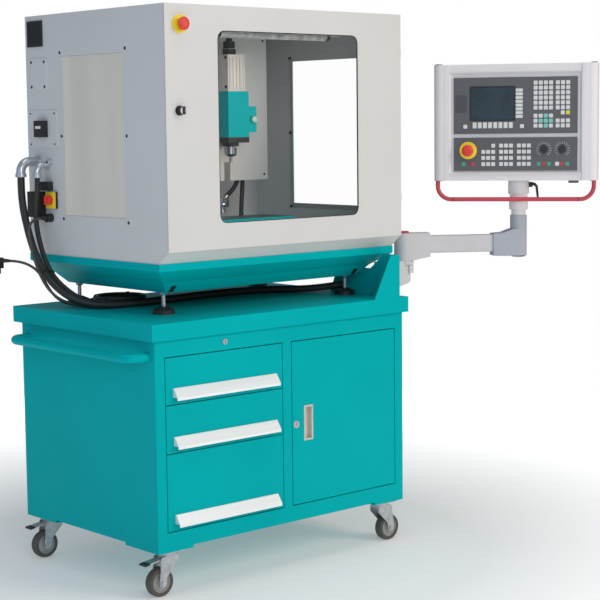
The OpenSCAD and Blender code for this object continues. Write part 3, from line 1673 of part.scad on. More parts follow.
// Display front with its screen recess and key blocks
module display_panel() {
  color(panel_dark)
    on_pendant()
      translate([pendant_shift, 0, 0]) {
        difference() {
          span([-front_w / 2, panel_y, display_z0], [front_w / 2, floor_y, display_z1]);
          span([screen_x - screen_w / 2, panel_y - cut, screen_z - screen_h / 2],
            [screen_x + screen_w / 2, panel_y + screen_in, screen_z + screen_h / 2]);
        }
        keys(screen_x - 3.5 * soft_pitch, screen_z - soft_low, 8, 1, [soft_pitch, 0], key_w, soft_h);
        keys(soft_x, screen_z + 3.5 * side_pitch, 1, 8, [0, side_pitch], soft_w, side_h);
        keys(single_xs[0], display_z0 + single_lift, 1, 1, pad_pitch, key_w, key_w);
        keys(single_xs[1], display_z0 + single_lift, 1, 1, pad_pitch, key_w, key_w);
        keys(pad_x, pad_z, 4, 6, pad_pitch, key_w, key_w);
        keys(pad_x + 4.3 * pad_pitch[0], pad_z, 3, 6, pad_pitch, key_w, key_w);
        keys(pad_x + 5.3 * pad_pitch[0], pad_z - 6 * pad_pitch[1], 2, 1, pad_pitch, key_w, key_w);
        keys(pad_x, pad_z - 6.6 * pad_pitch[1], 4, 3, pad_pitch, key_w, key_w);
        keys(pad_x + 4.3 * pad_pitch[0], pad_z - 7.6 * pad_pitch[1], 3, 2, pad_pitch, key_w, key_w);
      }
}

// Control front with its stop collar, key blocks and dial bores
module control_panel() {
  color(panel_dark)
    on_pendant()
      translate([pendant_shift, 0, 0])
        difference() {
          union() {
            span([-front_w / 2, panel_y, control_z0], [front_w / 2, floor_y, control_z1]);
            rod_y([stop_x, panel_y - collar_h, stop_z], stop_collar_d / 2, collar_h);
            keys(block_xs[0] + 2 * block_pitch[0], block_z, 1, 1, block_pitch, key_w, key_w);
            keys(block_xs[0], block_z - block_pitch[1], 3, 3, block_pitch, key_w, key_w);
            for (k = [1, 2])
              keys(block_xs[k], block_z, 3, 4, block_pitch, key_w, key_w);
            keys(stop_x - start_gap / 2, block_z - 3 * block_pitch[1], 2, 1, [start_gap, 0], key_w, key_w);
            for (x = dial_xs)
              keys(x - block_pitch[0], block_z - 3 * block_pitch[1], 3, 1, block_pitch, key_w, key_w);
          }
          rod_y([stop_x, panel_y - collar_h - cut, stop_z], collar_bore_d / 2,
             collar_h + front_t + 2 * cut);
          for (x = dial_xs)
            rod_y([x, panel_y - cut, dial_z], dial_shaft_d / 2 + run_gap, front_t + 2 * cut);
        }
}

module pendant_stop() {
  on_pendant()
    translate([pendant_shift + stop_x, panel_y - collar_h, stop_z])
      rotate([90, 0, 0])
        stop_button(stop_shaft_len);
}

// Override dial with a pointer wing
module override_dial(i) {
  color(dark)
    on_pendant()
      translate([pendant_shift + dial_xs[i], panel_y - dial_gap, dial_z])
        rotate([90, 0, 0]) {
          cylinder(r1 = dial_r, r2 = dial_r - 1.5, h = dial_out);
          translate([0, 0, -front_t - 4]) cylinder(r = dial_shaft_d / 2, h = front_t + 4);
          span([-2.5, -dial_r - 1, 2], [2.5, dial_r + 4, dial_out + 2]);
        }
}

module override_dial_1() override_dial(0);

module override_dial_2() override_dial(1);

// Bent tube handle under the housing
module pendant_handle() {
  r = bar_d / 2;
  half = bar_span / 2;
  z = pendant_z - bar_drop + r;
  color(stop_red)
    on_pendant()
      translate([pendant_shift, bar_y, z]) {
        for (s = [-1, 1]) {
          rod_z([s * half, 0, bar_bend], r, pendant_z - z - bar_bend);
          translate([s * (half - bar_bend), 0, bar_bend])
            rotate([90, 0, 0])
              rotate(s > 0 ? 270 : 180)
                rotate_extrude(angle = 90)
                  translate([bar_bend, 0])
                    circle(r);
        }
        rod_x([-half + bar_bend, 0, 0], r, 2 * (half - bar_bend));
      }
}

// Clamp lever on its screw in the column
module clamp_lever() {
  x0 = flange_d / 2 + dial_gap;
  t = 7;
  color(dark)
    on_pendant() {
      rod_x([flange_d / 2 - lever_in, 0, lever_z], lever_screw_d / 2, lever_in + dial_gap + cut);
      rod_x([x0, 0, lever_z], lever_r, lever_hub);
      along_y(-t / 2, t / 2, [
        [x0 + lever_hub - 6, lever_z + t], [x0 + lever_hub + 8, lever_z + t],
        [x0 + lever_hub + 18, lever_z - 4],
        [x0 + lever_hub + 22, lever_z - lever_len], [x0 + lever_hub + 15, lever_z - lever_len - 2],
        [x0 + lever_hub + 10, lever_z - 8], [x0 + lever_hub + 4, lever_z - t / 2],
        [x0 + lever_hub - 6, lever_z - t / 2]
      ]);
    }
}

module conduit_large() color(dark) swept_tube(conduit_big_route, conduit_big_d);

module conduit_small() color(dark) swept_tube(conduit_small_route, conduit_small_d);

module mains_lead() {
  color(dark) {
    swept_tube(lead_route_in, lead_d);
    swept_tube(lead_route_out, lead_d);
  }
}

// Tied coil of the lead, flat on the worktop
module cable_coil() {
  h = coil_section * 1.2;
  e = coil_section / 4;
  color(dark)
    translate([coil_x, coil_y, top_z])
      rotate_extrude()
        translate([coil_r, 0])
          polygon([
            [-coil_section / 2 + e, 0], [coil_section / 2 - e, 0], [coil_section / 2, e],
            [coil_section / 2, h - e], [coil_section / 2 - e, h], [-coil_section / 2 + e, h],
            [-coil_section / 2, h - e], [-coil_section / 2, e]
          ]);
}

// Angled mains plug: tapered neck and a round head with two pins
module mains_plug() {
  pin_r = 2.4;
  pin_l = 19;
  color(dark)
    translate(plug_at)
      rotate(plug_turn) {
        rotate([0, 90, 0]) cylinder(r1 = lead_d / 2, r2 = plug_neck_r, h = plug_len);
        translate([plug_len + plug_r - 4, 0, plug_neck_r])
          rotate([180, 0, 0]) cylinder(r = plug_r, h = plug_head_l);
        for (s = [-1, 1])
          translate([plug_len + plug_r - 4, s * 9.5, plug_neck_r - plug_head_l - pin_l])
            cylinder(r = pin_r, h = pin_l);
      }
}

cabinet_body();
worktop();
push_handle();
drawer_runners();
caster_plates();
levelling_feet();
chip_tray();
enclosure_shell();
side_panes();
lamp();
side_fittings();
hose_elbows();
mill_base();
mill_column();
arm_bracket();
arm_mount();
conduit_large();
conduit_small();
mains_lead();
mains_plug();
cable_coil();
drawer_1();
drawer_2();
drawer_3();
drawer_grip_1();
drawer_grip_2();
drawer_grip_3();
cupboard_door();
cupboard_pull();
caster_fork_fl();
caster_fork_fr();
caster_fork_rl();
caster_fork_rr();
caster_wheel_fl();
caster_wheel_fr();
caster_wheel_rl();
caster_wheel_rr();
brake_pedal_fl();
brake_pedal_rl();
front_door();
door_pane();
door_knob();
door_stop();
main_switch_knob();
arm_pivot_block();
arm_tube();
arm_elbow();
pendant_housing();
display_panel();
control_panel();
pendant_handle();
clamp_lever();
pendant_stop();
override_dial_1();
override_dial_2();
mill_saddle();
mill_table();
mill_head();
spindle_motor();
spindle();
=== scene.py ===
import math

import bmesh
import bpy
from mathutils import Matrix, Vector


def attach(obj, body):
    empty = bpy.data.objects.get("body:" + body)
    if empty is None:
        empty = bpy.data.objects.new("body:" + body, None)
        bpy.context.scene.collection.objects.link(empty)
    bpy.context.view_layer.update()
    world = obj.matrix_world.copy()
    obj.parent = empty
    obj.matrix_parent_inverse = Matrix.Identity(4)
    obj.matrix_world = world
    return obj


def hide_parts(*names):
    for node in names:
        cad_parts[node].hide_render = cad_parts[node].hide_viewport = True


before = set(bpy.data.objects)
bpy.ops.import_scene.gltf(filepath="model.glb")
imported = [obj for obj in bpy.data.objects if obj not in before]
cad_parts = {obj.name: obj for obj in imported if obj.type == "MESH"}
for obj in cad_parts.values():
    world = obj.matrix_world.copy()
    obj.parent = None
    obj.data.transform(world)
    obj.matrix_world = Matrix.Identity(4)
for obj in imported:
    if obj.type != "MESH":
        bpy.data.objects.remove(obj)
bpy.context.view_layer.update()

scene = bpy.context.scene
MM = 0.001


# Camera at the photograph's angle

CAMERA_PLACE = (-3.3934, -4.2110, 1.4338)
CAMERA_AIM = (0.6639, 0.74, -0.1083)
CAMERA_ROLL = math.radians(-0.64)
CAMERA_SENSOR, CAMERA_LENS = 36, 97.28


def photo_camera():
    forward = Vector(CAMERA_AIM).normalized()
    level = forward.cross(Vector((0, 0, 1))).normalized()
    upright = level.cross(forward)
    across = math.cos(CAMERA_ROLL) * level + math.sin(CAMERA_ROLL) * upright
    up = across.cross(forward)
    data = bpy.data.cameras.new("photo_camera")
    data.sensor_width = CAMERA_SENSOR
    data.lens = CAMERA_LENS
    camera = bpy.data.objects.new("photo_camera", data)
    turn = Matrix((across, up, -forward)).transposed()
    camera.matrix_world = Matrix.Translation(CAMERA_PLACE) @ turn.to_4x4()
    scene.collection.objects.link(camera)
    scene.camera = camera


photo_camera()


# Materials

SCREEN_KNEE, SCREEN_SLOPE, SCREEN_SHIFT, SCREEN_POWER = 0.04045, 12.92, 0.055, 2.4
DRIFT_DETAIL, DRIFT_STOPS = 5, (0.3, 0.7)
GLOSS_SWING, LEAST_ROUGH = 0.05, 0.02
GRAIN_DETAIL, GRAIN_HEIGHT = 3, 0.0004


def linear(rgb):
    """Linear colour of an 8-bit screen colour."""
    out = []
    for c in rgb:
        c /= 255
        low = c <= SCREEN_KNEE
        out.append(c / SCREEN_SLOPE if low else ((c + SCREEN_SHIFT) / (1 + SCREEN_SHIFT)) ** SCREEN_POWER)
    return out


def surface(name, rgb, rough, patch, grain, metal=0.0, stretch=(1, 1, 1), **sockets):
    """A finish whose colour and gloss drift in patches, with a fine grain, both (scale, strength)."""
    mat = bpy.data.materials.new(name)
    mat.use_nodes = True
    tree = mat.node_tree
    shader = tree.nodes["Principled BSDF"]
    where = tree.nodes.new("ShaderNodeTexCoord")
    mapping = tree.nodes.new("ShaderNodeMapping")
    mapping.inputs["Scale"].default_value = stretch
    tree.links.new(where.outputs["Object"], mapping.inputs["Vector"])

    drift = tree.nodes.new("ShaderNodeTexNoise")
    drift.inputs["Scale"].default_value = patch[0]
    drift.inputs["Detail"].default_value = DRIFT_DETAIL
    tree.links.new(mapping.outputs["Vector"], drift.inputs["Vector"])
    shade = tree.nodes.new("ShaderNodeValToRGB")
    base = linear(rgb)
    for stop, position, lean in zip(shade.color_ramp.elements, DRIFT_STOPS, (-1, 1)):
        stop.color = [min(1, c * (1 + lean * patch[1])) for c in base] + [1]
        stop.position = position
    tree.links.new(drift.outputs["Fac"], shade.inputs["Fac"])
    tree.links.new(shade.outputs["Color"], shader.inputs["Base Color"])
    gloss = tree.nodes.new("ShaderNodeMapRange")
    gloss.inputs["To Min"].default_value = max(LEAST_ROUGH, rough - GLOSS_SWING)
    gloss.inputs["To Max"].default_value = min(1, rough + GLOSS_SWING)
    tree.links.new(drift.outputs["Fac"], gloss.inputs["Value"])
    tree.links.new(gloss.outputs["Result"], shader.inputs["Roughness"])

    fine = tree.nodes.new("ShaderNodeTexNoise")
    fine.inputs["Scale"].default_value = grain[0]
    fine.inputs["Detail"].default_value = GRAIN_DETAIL
    tree.links.new(mapping.outputs["Vector"], fine.inputs["Vector"])
    bump = tree.nodes.new("ShaderNodeBump")
    bump.inputs["Strength"].default_value = grain[1]
    bump.inputs["Distance"].default_value = GRAIN_HEIGHT
    tree.links.new(fine.outputs["Fac"], bump.inputs["Height"])
    tree.links.new(bump.outputs["Normal"], shader.inputs["Normal"])

    shader.inputs["Metallic"].default_value = metal
    for socket, value in sockets.items():
        shader.inputs[socket.replace("_", " ")].default_value = value
    return mat


TEAL = surface("teal powder coat", (0, 169, 172), rough=0.42, patch=(2.5, 0.05), grain=(900, 0.16),
               Specular_IOR_Level=0.03)
MILL = surface("mill enamel", (0, 178, 182), rough=0.35, patch=(4, 0.06), grain=(500, 0.1),
               Specular_IOR_Level=0.03)
GUARD = surface("guard powder coat", (206, 206, 204), rough=0.45, patch=(2, 0.03), grain=(900, 0.14))
ARM = surface("arm coat", (197, 195, 197), rough=0.5, patch=(6, 0.04), grain=(1200, 0.3))
ELBOW_COAT = surface("elbow coat", (164, 167, 176), rough=0.5, patch=(6, 0.05), grain=(1200, 0.3))
HOUSING = surface("housing coat", (223, 219, 219), rough=0.4, patch=(5, 0.03), grain=(900, 0.12))
COVER = surface("cover paint", (220, 219, 214), rough=0.5, patch=(3, 0.05), grain=(800, 0.2))
CARRIAGE = surface("carriage paint", (112, 110, 106), rough=0.5, patch=(6, 0.1), grain=(800, 0.2))

ZINC = surface("zinc plate", (186, 189, 192), rough=0.38, metal=0.8, patch=(60, 0.16), grain=(400, 0.15))
FITTING = surface("zinc elbow", (202, 205, 208), rough=0.3, metal=0.85, patch=(40, 0.12), grain=(260, 0.25))
GALVANISED = surface("galvanised lamp body", (196, 198, 198), rough=0.42, metal=0.3, patch=(48, 0.3),
                     grain=(160, 0.2))
ALUMINIUM = surface("anodised aluminium", (240, 244, 244), rough=0.34, metal=0.25, patch=(30, 0.04),
                    grain=(260, 0.2), stretch=(0.04, 1, 1))
MOTOR = surface("extruded aluminium", (224, 220, 214), rough=0.3, metal=0.3, patch=(30, 0.07),
                grain=(300, 0.2), stretch=(1, 1, 0.05))
NICKEL = surface("satin nickel", (206, 199, 187), rough=0.36, metal=0.4, patch=(40, 0.06), grain=(400, 0.2))
CHROME = surface("chrome", (222, 226, 230), rough=0.12, metal=1.0, patch=(20, 0.05), grain=(300, 0.03))
IRON = surface("ground iron", (70, 72, 74), rough=0.34, metal=0.6, patch=(40, 0.15), grain=(500, 0.2),
               stretch=(1, 0.2, 1))
STEEL = surface("ground steel", (170, 170, 172), rough=0.25, metal=0.9, patch=(30, 0.1), grain=(500, 0.15),
                stretch=(1, 1, 0.1))

BLACK = surface("moulded black", (33, 33, 35), rough=0.5, patch=(20, 0.2), grain=(1500, 0.35))
PANEL = surface("panel front", (88, 88, 91), rough=0.5, patch=(8, 0.05), grain=(1600, 0.3))
FLAP = surface("panel flap", (70, 71, 75), rough=0.5, patch=(8, 0.05), grain=(1600, 0.3))
RUBBER = surface("hose rubber", (40, 39, 39), rough=0.5, patch=(25, 0.25), grain=(900, 0.3))
SHEATH = surface("lead sheath", (64, 65, 60), rough=0.4, patch=(25, 0.15), grain=(900, 0.15))
TYRE = surface("grey tyre", (82, 79, 74), rough=0.72, patch=(30, 0.1), grain=(900, 0.4))
HUB = surface("wheel hub", (164, 162, 158), rough=0.5, patch=(30, 0.1), grain=(900, 0.3))
RED = surface("stop button red", (222, 58, 48), rough=0.4, patch=(20, 0.06), grain=(1200, 0.2))
BAR = surface("handle red", (192, 66, 82), rough=0.42, patch=(10, 0.08), grain=(800, 0.2))
YELLOW = surface("stop collar yellow", (240, 216, 44), rough=0.42, patch=(20, 0.05), grain=(1200, 0.15))
MINT = surface("mint button", (196, 232, 212), rough=0.35, patch=(60, 0.08), grain=(900, 0.1))
TICK = surface("dial marks", (172, 172, 170), rough=0.6, patch=(40, 0.05), grain=(900, 0.1))
KEY = surface("foil key grey", (212, 212, 210), rough=0.5, patch=(60, 0.05), grain=(1500, 0.2))
KEY_GREEN = surface("foil key green", (74, 158, 122), rough=0.5, patch=(60, 0.06), grain=(1500, 0.2))
KEY_RED = surface("foil key red", (178, 62, 70), rough=0.5, patch=(60, 0.06), grain=(1500, 0.2))
KEY_TEAL = surface("foil key teal", (120, 196, 184), rough=0.5, patch=(60, 0.06), grain=(1500, 0.2))
KEY_YELLOW = surface("foil key yellow", (206, 206, 66), rough=0.5, patch=(60, 0.06), grain=(1500, 0.2))

PANE = surface("clear pane", (225, 232, 232), rough=0.05, patch=(3, 0.02), grain=(8, 0.02), Alpha=0.01,
               Specular_IOR_Level=0.12)
FILM = surface("tinted film", (234, 229, 217), rough=0.3, patch=(7, 0.08), grain=(12, 0.04),
               stretch=(1, 1, 0.08), Alpha=0.78)
GLASS = surface("screen glass", (42, 57, 66), rough=0.28, patch=(14, 0.25), grain=(60, 0.02),
                Coat_Weight=0.15)
LAMP = surface("lamp tube", (176, 176, 171), rough=0.3, patch=(34, 0.5), grain=(200, 0.1))


# Places on faces, in millimetres

def facing(origin, right, up):
    """A place with x to the right, y up and z out of a face."""
    r, u = Vector(right).normalized(), Vector(up).normalized()
    place = Matrix((r, u, r.cross(u))).transposed().to_4x4()
    place.translation = Vector(origin)
    return place


def front(x, y, z):
    return facing((x, y, z), (1, 0, 0), (0, 0, 1))


def back(x, y, z):
    return facing((x, y, z), (-1, 0, 0), (0, 0, 1))


def left(x, y, z):
    return facing((x, y, z), (0, -1, 0), (0, 0, 1))


def right(x, y, z):
    return facing((x, y, z), (0, 1, 0), (0, 0, 1))


def top(x, y, z):
    return facing((x, y, z), (1, 0, 0), (0, 1, 0))


def under(x, y, z):
    return facing((x, y, z), (1, 0, 0), (0, -1, 0))


# Shapes

HAIR, CORNER_STEPS, LEAST_CORNER = 0.01, 4, 0.3
EASE, EASE_SHARE, BOX_EASE_SHARE, RING_EASE = 0.6, 0.9, 0.6, 0.8
ROUND_SIDES, RING_SIDES, SCREW_SIDES, HEXAGON = 32, 40, 16, 6
SCREW_RISE, SCREW_SHOULDER, SCREW_CROWN, SCREW_FLAT = 1.8, 0.6, 0.8, 0.5
SOCKET_SHARE, SOCKET_RISE = 0.45, 0.15
SHARP_ANGLE = 40


def circle(sides):
    return [2 * math.pi * i / sides for i in range(sides)]


def round_rect(w, h, r):
    """Outline of a rectangle with round corners, anticlockwise."""
    points = []
    for k, (sx, sy) in enumerate(((1, 1), (-1, 1), (-1, -1), (1, -1))):
        for i in range(CORNER_STEPS + 1):
            a = math.radians(90 * (k + i / CORNER_STEPS))
            points.append((sx * (w / 2 - r) + r * math.cos(a), sy * (h / 2 - r) + r * math.sin(a)))
    return points


def smooth_path(points, step):
    """Points about a step apart on a smooth curve through the given ones."""
    pts = [Vector(p) for p in points]
    pts = [2 * pts[0] - pts[1]] + pts + [2 * pts[-1] - pts[-2]]
    out = []
    for a, b, c, d in zip(pts, pts[1:], pts[2:], pts[3:]):
        ta, tb, tc = ((q - p).length ** 0.5 for p, q in ((a, b), (b, c), (c, d)))
        m0 = tb * ((b - a) / ta - (c - a) / (ta + tb) + (c - b) / tb)
        m1 = tb * ((c - b) / tb - (d - b) / (tb + tc) + (d - c) / tc)
        count = max(2, round((c - b).length / step))
        for i in range(count):
            t = i / count
            out.append((2 * t**3 - 3 * t**2 + 1) * b + (t**3 - 2 * t**2 + t) * m0
                       + (3 * t**2 - 2 * t**3) * c + (t**3 - t**2) * m1)
    return out + [pts[-2]]


class Shape:
    """A mesh in the making. Parts are added in millimetres, each through its place."""

    def __init__(self):
        self.bm = bmesh.new()

    def loft(self, place, loops):
        """Closed skin through loops of points, capped at both ends."""
        rows = [[self.bm.verts.new(place @ Vector(p)) for p in loop] for loop in loops]
        n = len(rows[0])
        for low, high in zip(rows, rows[1:]):
            for i in range(n):
                self.bm.faces.new((low[i], low[(i + 1) % n], high[(i + 1) % n], high[i]))
        self.bm.faces.new(rows[0][::-1])
        self.bm.faces.new(rows[-1])

    def wrap(self, place, rows):
        """Closed ring through rows of points, each row a closed section."""
        rows = [[self.bm.verts.new(place @ Vector(p)) for p in row] for row in rows]
        for here, there in zip(rows, rows[1:] + rows[:1]):
            for i in range(len(here)):
                j = (i + 1) % len(here)
                self.bm.faces.new((here[i], there[i], there[j], here[j]))

    def block(self, place, w, h, depth, r, edge=EASE, base=0.0):
        """Plate with round corners and an eased front edge, centred on its place."""
        r = min(r, w / 2 - HAIR, h / 2 - HAIR)
        edge = min(edge, r * EASE_SHARE, depth * EASE_SHARE)
        big, small = round_rect(w, h, r), round_rect(w - 2 * edge, h - 2 * edge, r - edge)
        self.loft(place, [[(x, y, base) for x, y in big], [(x, y, base + depth - edge) for x, y in big],
                          [(x, y, base + depth) for x, y in small]])

    def box(self, lo, hi, r):
        """Upright box between two corners, with its upright edges rounded."""
        x, y = ((a + b) / 2 for a, b in zip(lo[:2], hi[:2]))
        w, h, depth = (b - a for a, b in zip(lo, hi))
        self.block(top(x, y, lo[2]), w, h, depth, r, r * BOX_EASE_SHARE)

    def lathe(self, place, profile, sides=ROUND_SIDES):
        """Solid turned from (radius, height) points."""
        self.loft(place, [[(max(r, HAIR) * math.cos(a), max(r, HAIR) * math.sin(a), z) for a in circle(sides)]
                          for r, z in profile])

    def disc(self, place, r, depth, edge, sides=ROUND_SIDES):
        self.lathe(place, [(r, 0), (r, depth - edge), (r - edge, depth)], sides)

    def turned(self, place, section, sides):
        """Ring turned from a closed section of (radius, height) points."""
        self.wrap(place, [[(r * math.cos(a), r * math.sin(a), z) for r, z in section] for a in circle(sides)])

    def ring(self, place, outer, inner, depth, sides=RING_SIDES):
        """Flat washer with eased edges."""
        e = min(RING_EASE, depth / 3)
        self.turned(place, ((inner, 0), (outer, 0), (outer, depth - e), (outer - e, depth),
                            (inner + e, depth), (inner, depth - e)), sides)

    def framed(self, place, w, h, r, section):
        """Band round a rectangle with round corners; its section is (inset, height) points."""
        loops = [[(x, y, z) for x, y in round_rect(w - 2 * d, h - 2 * d, max(r - d, LEAST_CORNER))]
                 for d, z in section]
        self.wrap(place, list(zip(*loops)))

    def screw(self, place, r, rise=SCREW_RISE):
        """Round head with a hexagon socket."""
        head = [(r, 0), (r, rise * SCREW_SHOULDER), (r * SCREW_CROWN, rise), (r * SCREW_FLAT, rise)]
        self.lathe(place, head, SCREW_SIDES)
        self.lathe(place, [(r * SOCKET_SHARE, rise), (r * SOCKET_SHARE, rise + SOCKET_RISE)], HEXAGON)

    def tube(self, points, radius, sides, ribs=None):
        """Round tube along a path; ribs are (pitch, depth)."""
        pts = [Vector(p) for p in points]
        normal = (pts[1] - pts[0]).orthogonal().normalized()
        loops, run = [], 0.0
        for i, p in enumerate(pts):
            ahead = (pts[min(i + 1, len(pts) - 1)] - pts[max(i - 1, 0)]).normalized()
            normal = (normal - normal.dot(ahead) * ahead).normalized()
            side = ahead.cross(normal)
            run += (p - pts[i - 1]).length if i else 0.0
            r = radius
            if ribs:
                pitch, depth = ribs
                r -= depth * (1 - math.cos(2 * math.pi * run / pitch)) / 2
            loops.append([p + r * (math.cos(a) * normal + math.sin(a) * side) for a in circle(sides)])
        self.loft(Matrix.Identity(4), loops)

    def done(self, name, body, slot, material, angle=SHARP_ANGLE):
        """The finished piece on its body, with edges over the angle kept sharp."""
        mesh = bpy.data.meshes.new(name)
        bmesh.ops.recalc_face_normals(self.bm, faces=self.bm.faces)
        bmesh.ops.scale(self.bm, vec=(MM, MM, MM), verts=self.bm.verts)
        self.bm.to_mesh(mesh)
        self.bm.free()
        mesh.polygons.foreach_set("use_smooth", [True] * len(mesh.polygons))
        mesh.set_sharp_from_angle(angle=math.radians(angle))
        piece = bpy.data.objects.new(name, mesh)
        scene.collection.objects.link(piece)
        mesh.materials.append(material)
        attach(piece, body)
        return piece


# Cords

TOP_Z = 845
BIG_R, SMALL_R, LEAD_R = 13, 9, 4.5
BIG_Z, SMALL_Z, LEAD_Z = TOP_Z + BIG_R, TOP_Z + SMALL_R, TOP_Z + LEAD_R
BIG_PITCH, SMALL_PITCH = 6.4, 5.2
RIB_STEPS, RIB_SHARE, RIB_ANGLE = 4, 0.13, 80
HOSE_SIDES, LEAD_STEP, LEAD_ROUNDING = 14, 9, 3

CONDUIT_BIG = [
    (-514, 360.5, 1269), (-514, 360.5, 1239), (-514, 358, 1200), (-514, 350, 1160), (-512, 338, 1115),
    (-510, 322, 1070), (-508, 300, 1025), (-505, 270, 980), (-498, 232, 940), (-484, 190, 905),
    (-458, 145, 876), (-420, 102, 862), (-370, 74, BIG_Z), (-310, 62, BIG_Z), (-230, 60, BIG_Z),
    (-147, 68, BIG_Z), (-50, 80, BIG_Z), (60, 92, BIG_Z), (160, 95, BIG_Z), (250, 78, BIG_Z),
    (316, 46, BIG_Z), (350, 2, 859), (377, -33, 861), (403, -66, 864.5), (437.5, -96, 869.5),
    (466, -108, 872), (497, -112, 872),
]
CONDUIT_SMALL = [
    (-488, 304.5, 1267), (-488, 304.5, 1239), (-488, 310, 1205), (-487, 318, 1160), (-485, 320, 1110),
    (-482, 308, 1055), (-480, 283, 1000), (-474, 248, 950), (-460, 206, 912), (-436, 166, 882),
    (-400, 128, 862), (-355, 102, SMALL_Z), (-290, 88, SMALL_Z), (-220, 86, SMALL_Z), (-140, 94, SMALL_Z),
    (-40, 107, SMALL_Z), (70, 119, SMALL_Z), (170, 122, SMALL_Z), (262, 104, SMALL_Z), (332, 68, SMALL_Z),
    (372.5, 18, 855.5), (400.5, -17.5, 858.5), (425, -49, 862.5), (451.5, -72, 866.5), (473.5, -81, 868),
    (497, -84, 868),
]
LEAD_IN = [
    (-490, 292.5, 1135), (-508.4, 292.2, 1132.5), (-523.7, 291.2, 1122.7), (-533.5, 289.5, 1107.4),
    (-536.5, 287, 1091), (-536.5, 280, 1058), (-535, 267, 1018), (-532, 250, 978), (-526, 230, 940),
    (-512, 212, 906), (-488, 192, 878), (-452, 166, 860), (-410, 143, 850.5), (-360, 123, LEAD_Z),
    (-310, 115.25, LEAD_Z), (-290.5, 115.25, LEAD_Z),
]
LEAD_OUT = [
    (-326.8, 250.6, 858.7), (-355, 235, 856), (-385, 224, 852), (-415, 223, 852.5), (-442, 232, 860),
    (-466, 246, 878), (-486, 254, 906), (-500, 264, 936), (-511, 283, 964), (-525, 305, 982),
    (-542, 325, 992), (-556.26, 346.4, 996), (-560, 364, 996),
]

# Each turn of the coil as (radius, layer)
COIL_TURNS = [(84.75, 0), (75.25, 0), (75.25, 1), (75.25, 2), (84.75, 2), (84.75, 1)]
COIL = Vector((-245, 200, 0))
COIL_ROW, COIL_START = 9.2, -90.0
COIL_STEP, COIL_SHIFT, COIL_LAST_SWEEP = 6, 24, 330


def coil_spot(r, row, degrees):
    a = math.radians(degrees)
    return COIL + Vector((r * math.cos(a), r * math.sin(a), LEAD_Z + COIL_ROW * row))


def coil_points():
    """Turns beside and on each other; each one steps to the next place before it comes round."""
    points, angle = [], COIL_START
    for (r, row), ahead in zip(COIL_TURNS, COIL_TURNS[1:] + [None]):
        sweep = 360 - COIL_SHIFT if ahead else COIL_LAST_SWEEP
        for turned in range(0, sweep, COIL_STEP):
            t = max(0.0, (turned - sweep + COIL_SHIFT) / COIL_SHIFT) if ahead else 0.0
            t = t * t * (3 - 2 * t)
            r1, row1 = ahead or (r, row)
            points.append(coil_spot(r + t * (r1 - r), row + t * (row1 - row), angle + turned))
        angle += sweep
    return points + [coil_spot(*COIL_TURNS[-1], angle)]


def laid(path, radius):
    """The path, kept on the worktop where smoothing would press it in."""
    return [Vector((p.x, p.y, max(p.z, TOP_Z + radius))) for p in path]


def conduit(name, node, route, radius, pitch):
    path = laid(smooth_path(route, pitch / RIB_STEPS), radius)
    shape = Shape()
    shape.tube(path, radius, HOSE_SIDES, ribs=(pitch, radius * RIB_SHARE))
    piece = shape.done(name, "base", "black_rubber", RUBBER, RIB_ANGLE)
    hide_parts(node)


def mains_lead():
    coil = [LEAD_IN[-1]] + coil_points() + [LEAD_OUT[0]]
    path = smooth_path(LEAD_IN, LEAD_STEP)[:-1] + smooth_path(coil, LEAD_STEP)
    path = laid(path + smooth_path(LEAD_OUT, LEAD_STEP)[1:], LEAD_R)
    data = bpy.data.curves.new("mains_lead_cable", "CURVE")
    data.dimensions = "3D"
    data.bevel_depth = LEAD_R * MM
    data.bevel_resolution = LEAD_ROUNDING
    line = data.splines.new("POLY")
    line.points.add(len(path) - 1)
    for point, place in zip(line.points, path):
        point.co = (*(place * MM), 1)
    line.use_smooth = True
    piece = bpy.data.objects.new("mains_lead_cable", data)
    scene.collection.objects.link(piece)
    data.materials.append(SHEATH)
    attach(piece, "base")
    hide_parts("mains_lead", "cable_coil")


conduit("large_conduit_hose", "conduit_large", CONDUIT_BIG, BIG_R, BIG_PITCH)
conduit("small_conduit_hose", "conduit_small", CONDUIT_SMALL, SMALL_R, SMALL_PITCH)
mains_lead()


# Finishes of the solid parts

NODE_FINISH = {
    TEAL: "cabinet_body worktop push_handle chip_tray drawer_1 drawer_2 drawer_3 cupboard_door arm_bracket",
    MILL: "mill_base mill_saddle mill_head mill_table",
    GUARD: "enclosure_shell front_door",
    ARM: "arm_mount arm_pivot_block arm_tube",
    ELBOW_COAT: "arm_elbow",
    HOUSING: "pendant_housing",
    ZINC: "drawer_runners caster_plates caster_fork_fl caster_fork_fr caster_fork_rl caster_fork_rr "
          "brake_pedal_fl brake_pedal_rl",
    ALUMINIUM: "drawer_grip_1 drawer_grip_2 drawer_grip_3",
    NICKEL: "cupboard_pull",
    MOTOR: "spindle_motor",
    FITTING: "hose_elbows",
    COVER: "mill_column",
    BLACK: "levelling_feet side_fittings clamp_lever override_dial_1 override_dial_2 mains_plug door_knob",
    PANEL: "display_panel control_panel",
    PANE: "door_pane side_panes",
    RED: "door_stop pendant_stop main_switch_knob",
    BAR: "pendant_handle",
    STEEL: "spindle",
    GALVANISED: "lamp",
}
for material, names in NODE_FINISH.items():
    for name in names.split():
        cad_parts[name].material_slots[0].material = material


# Guarding: screws, plates, seals and switches on the shell

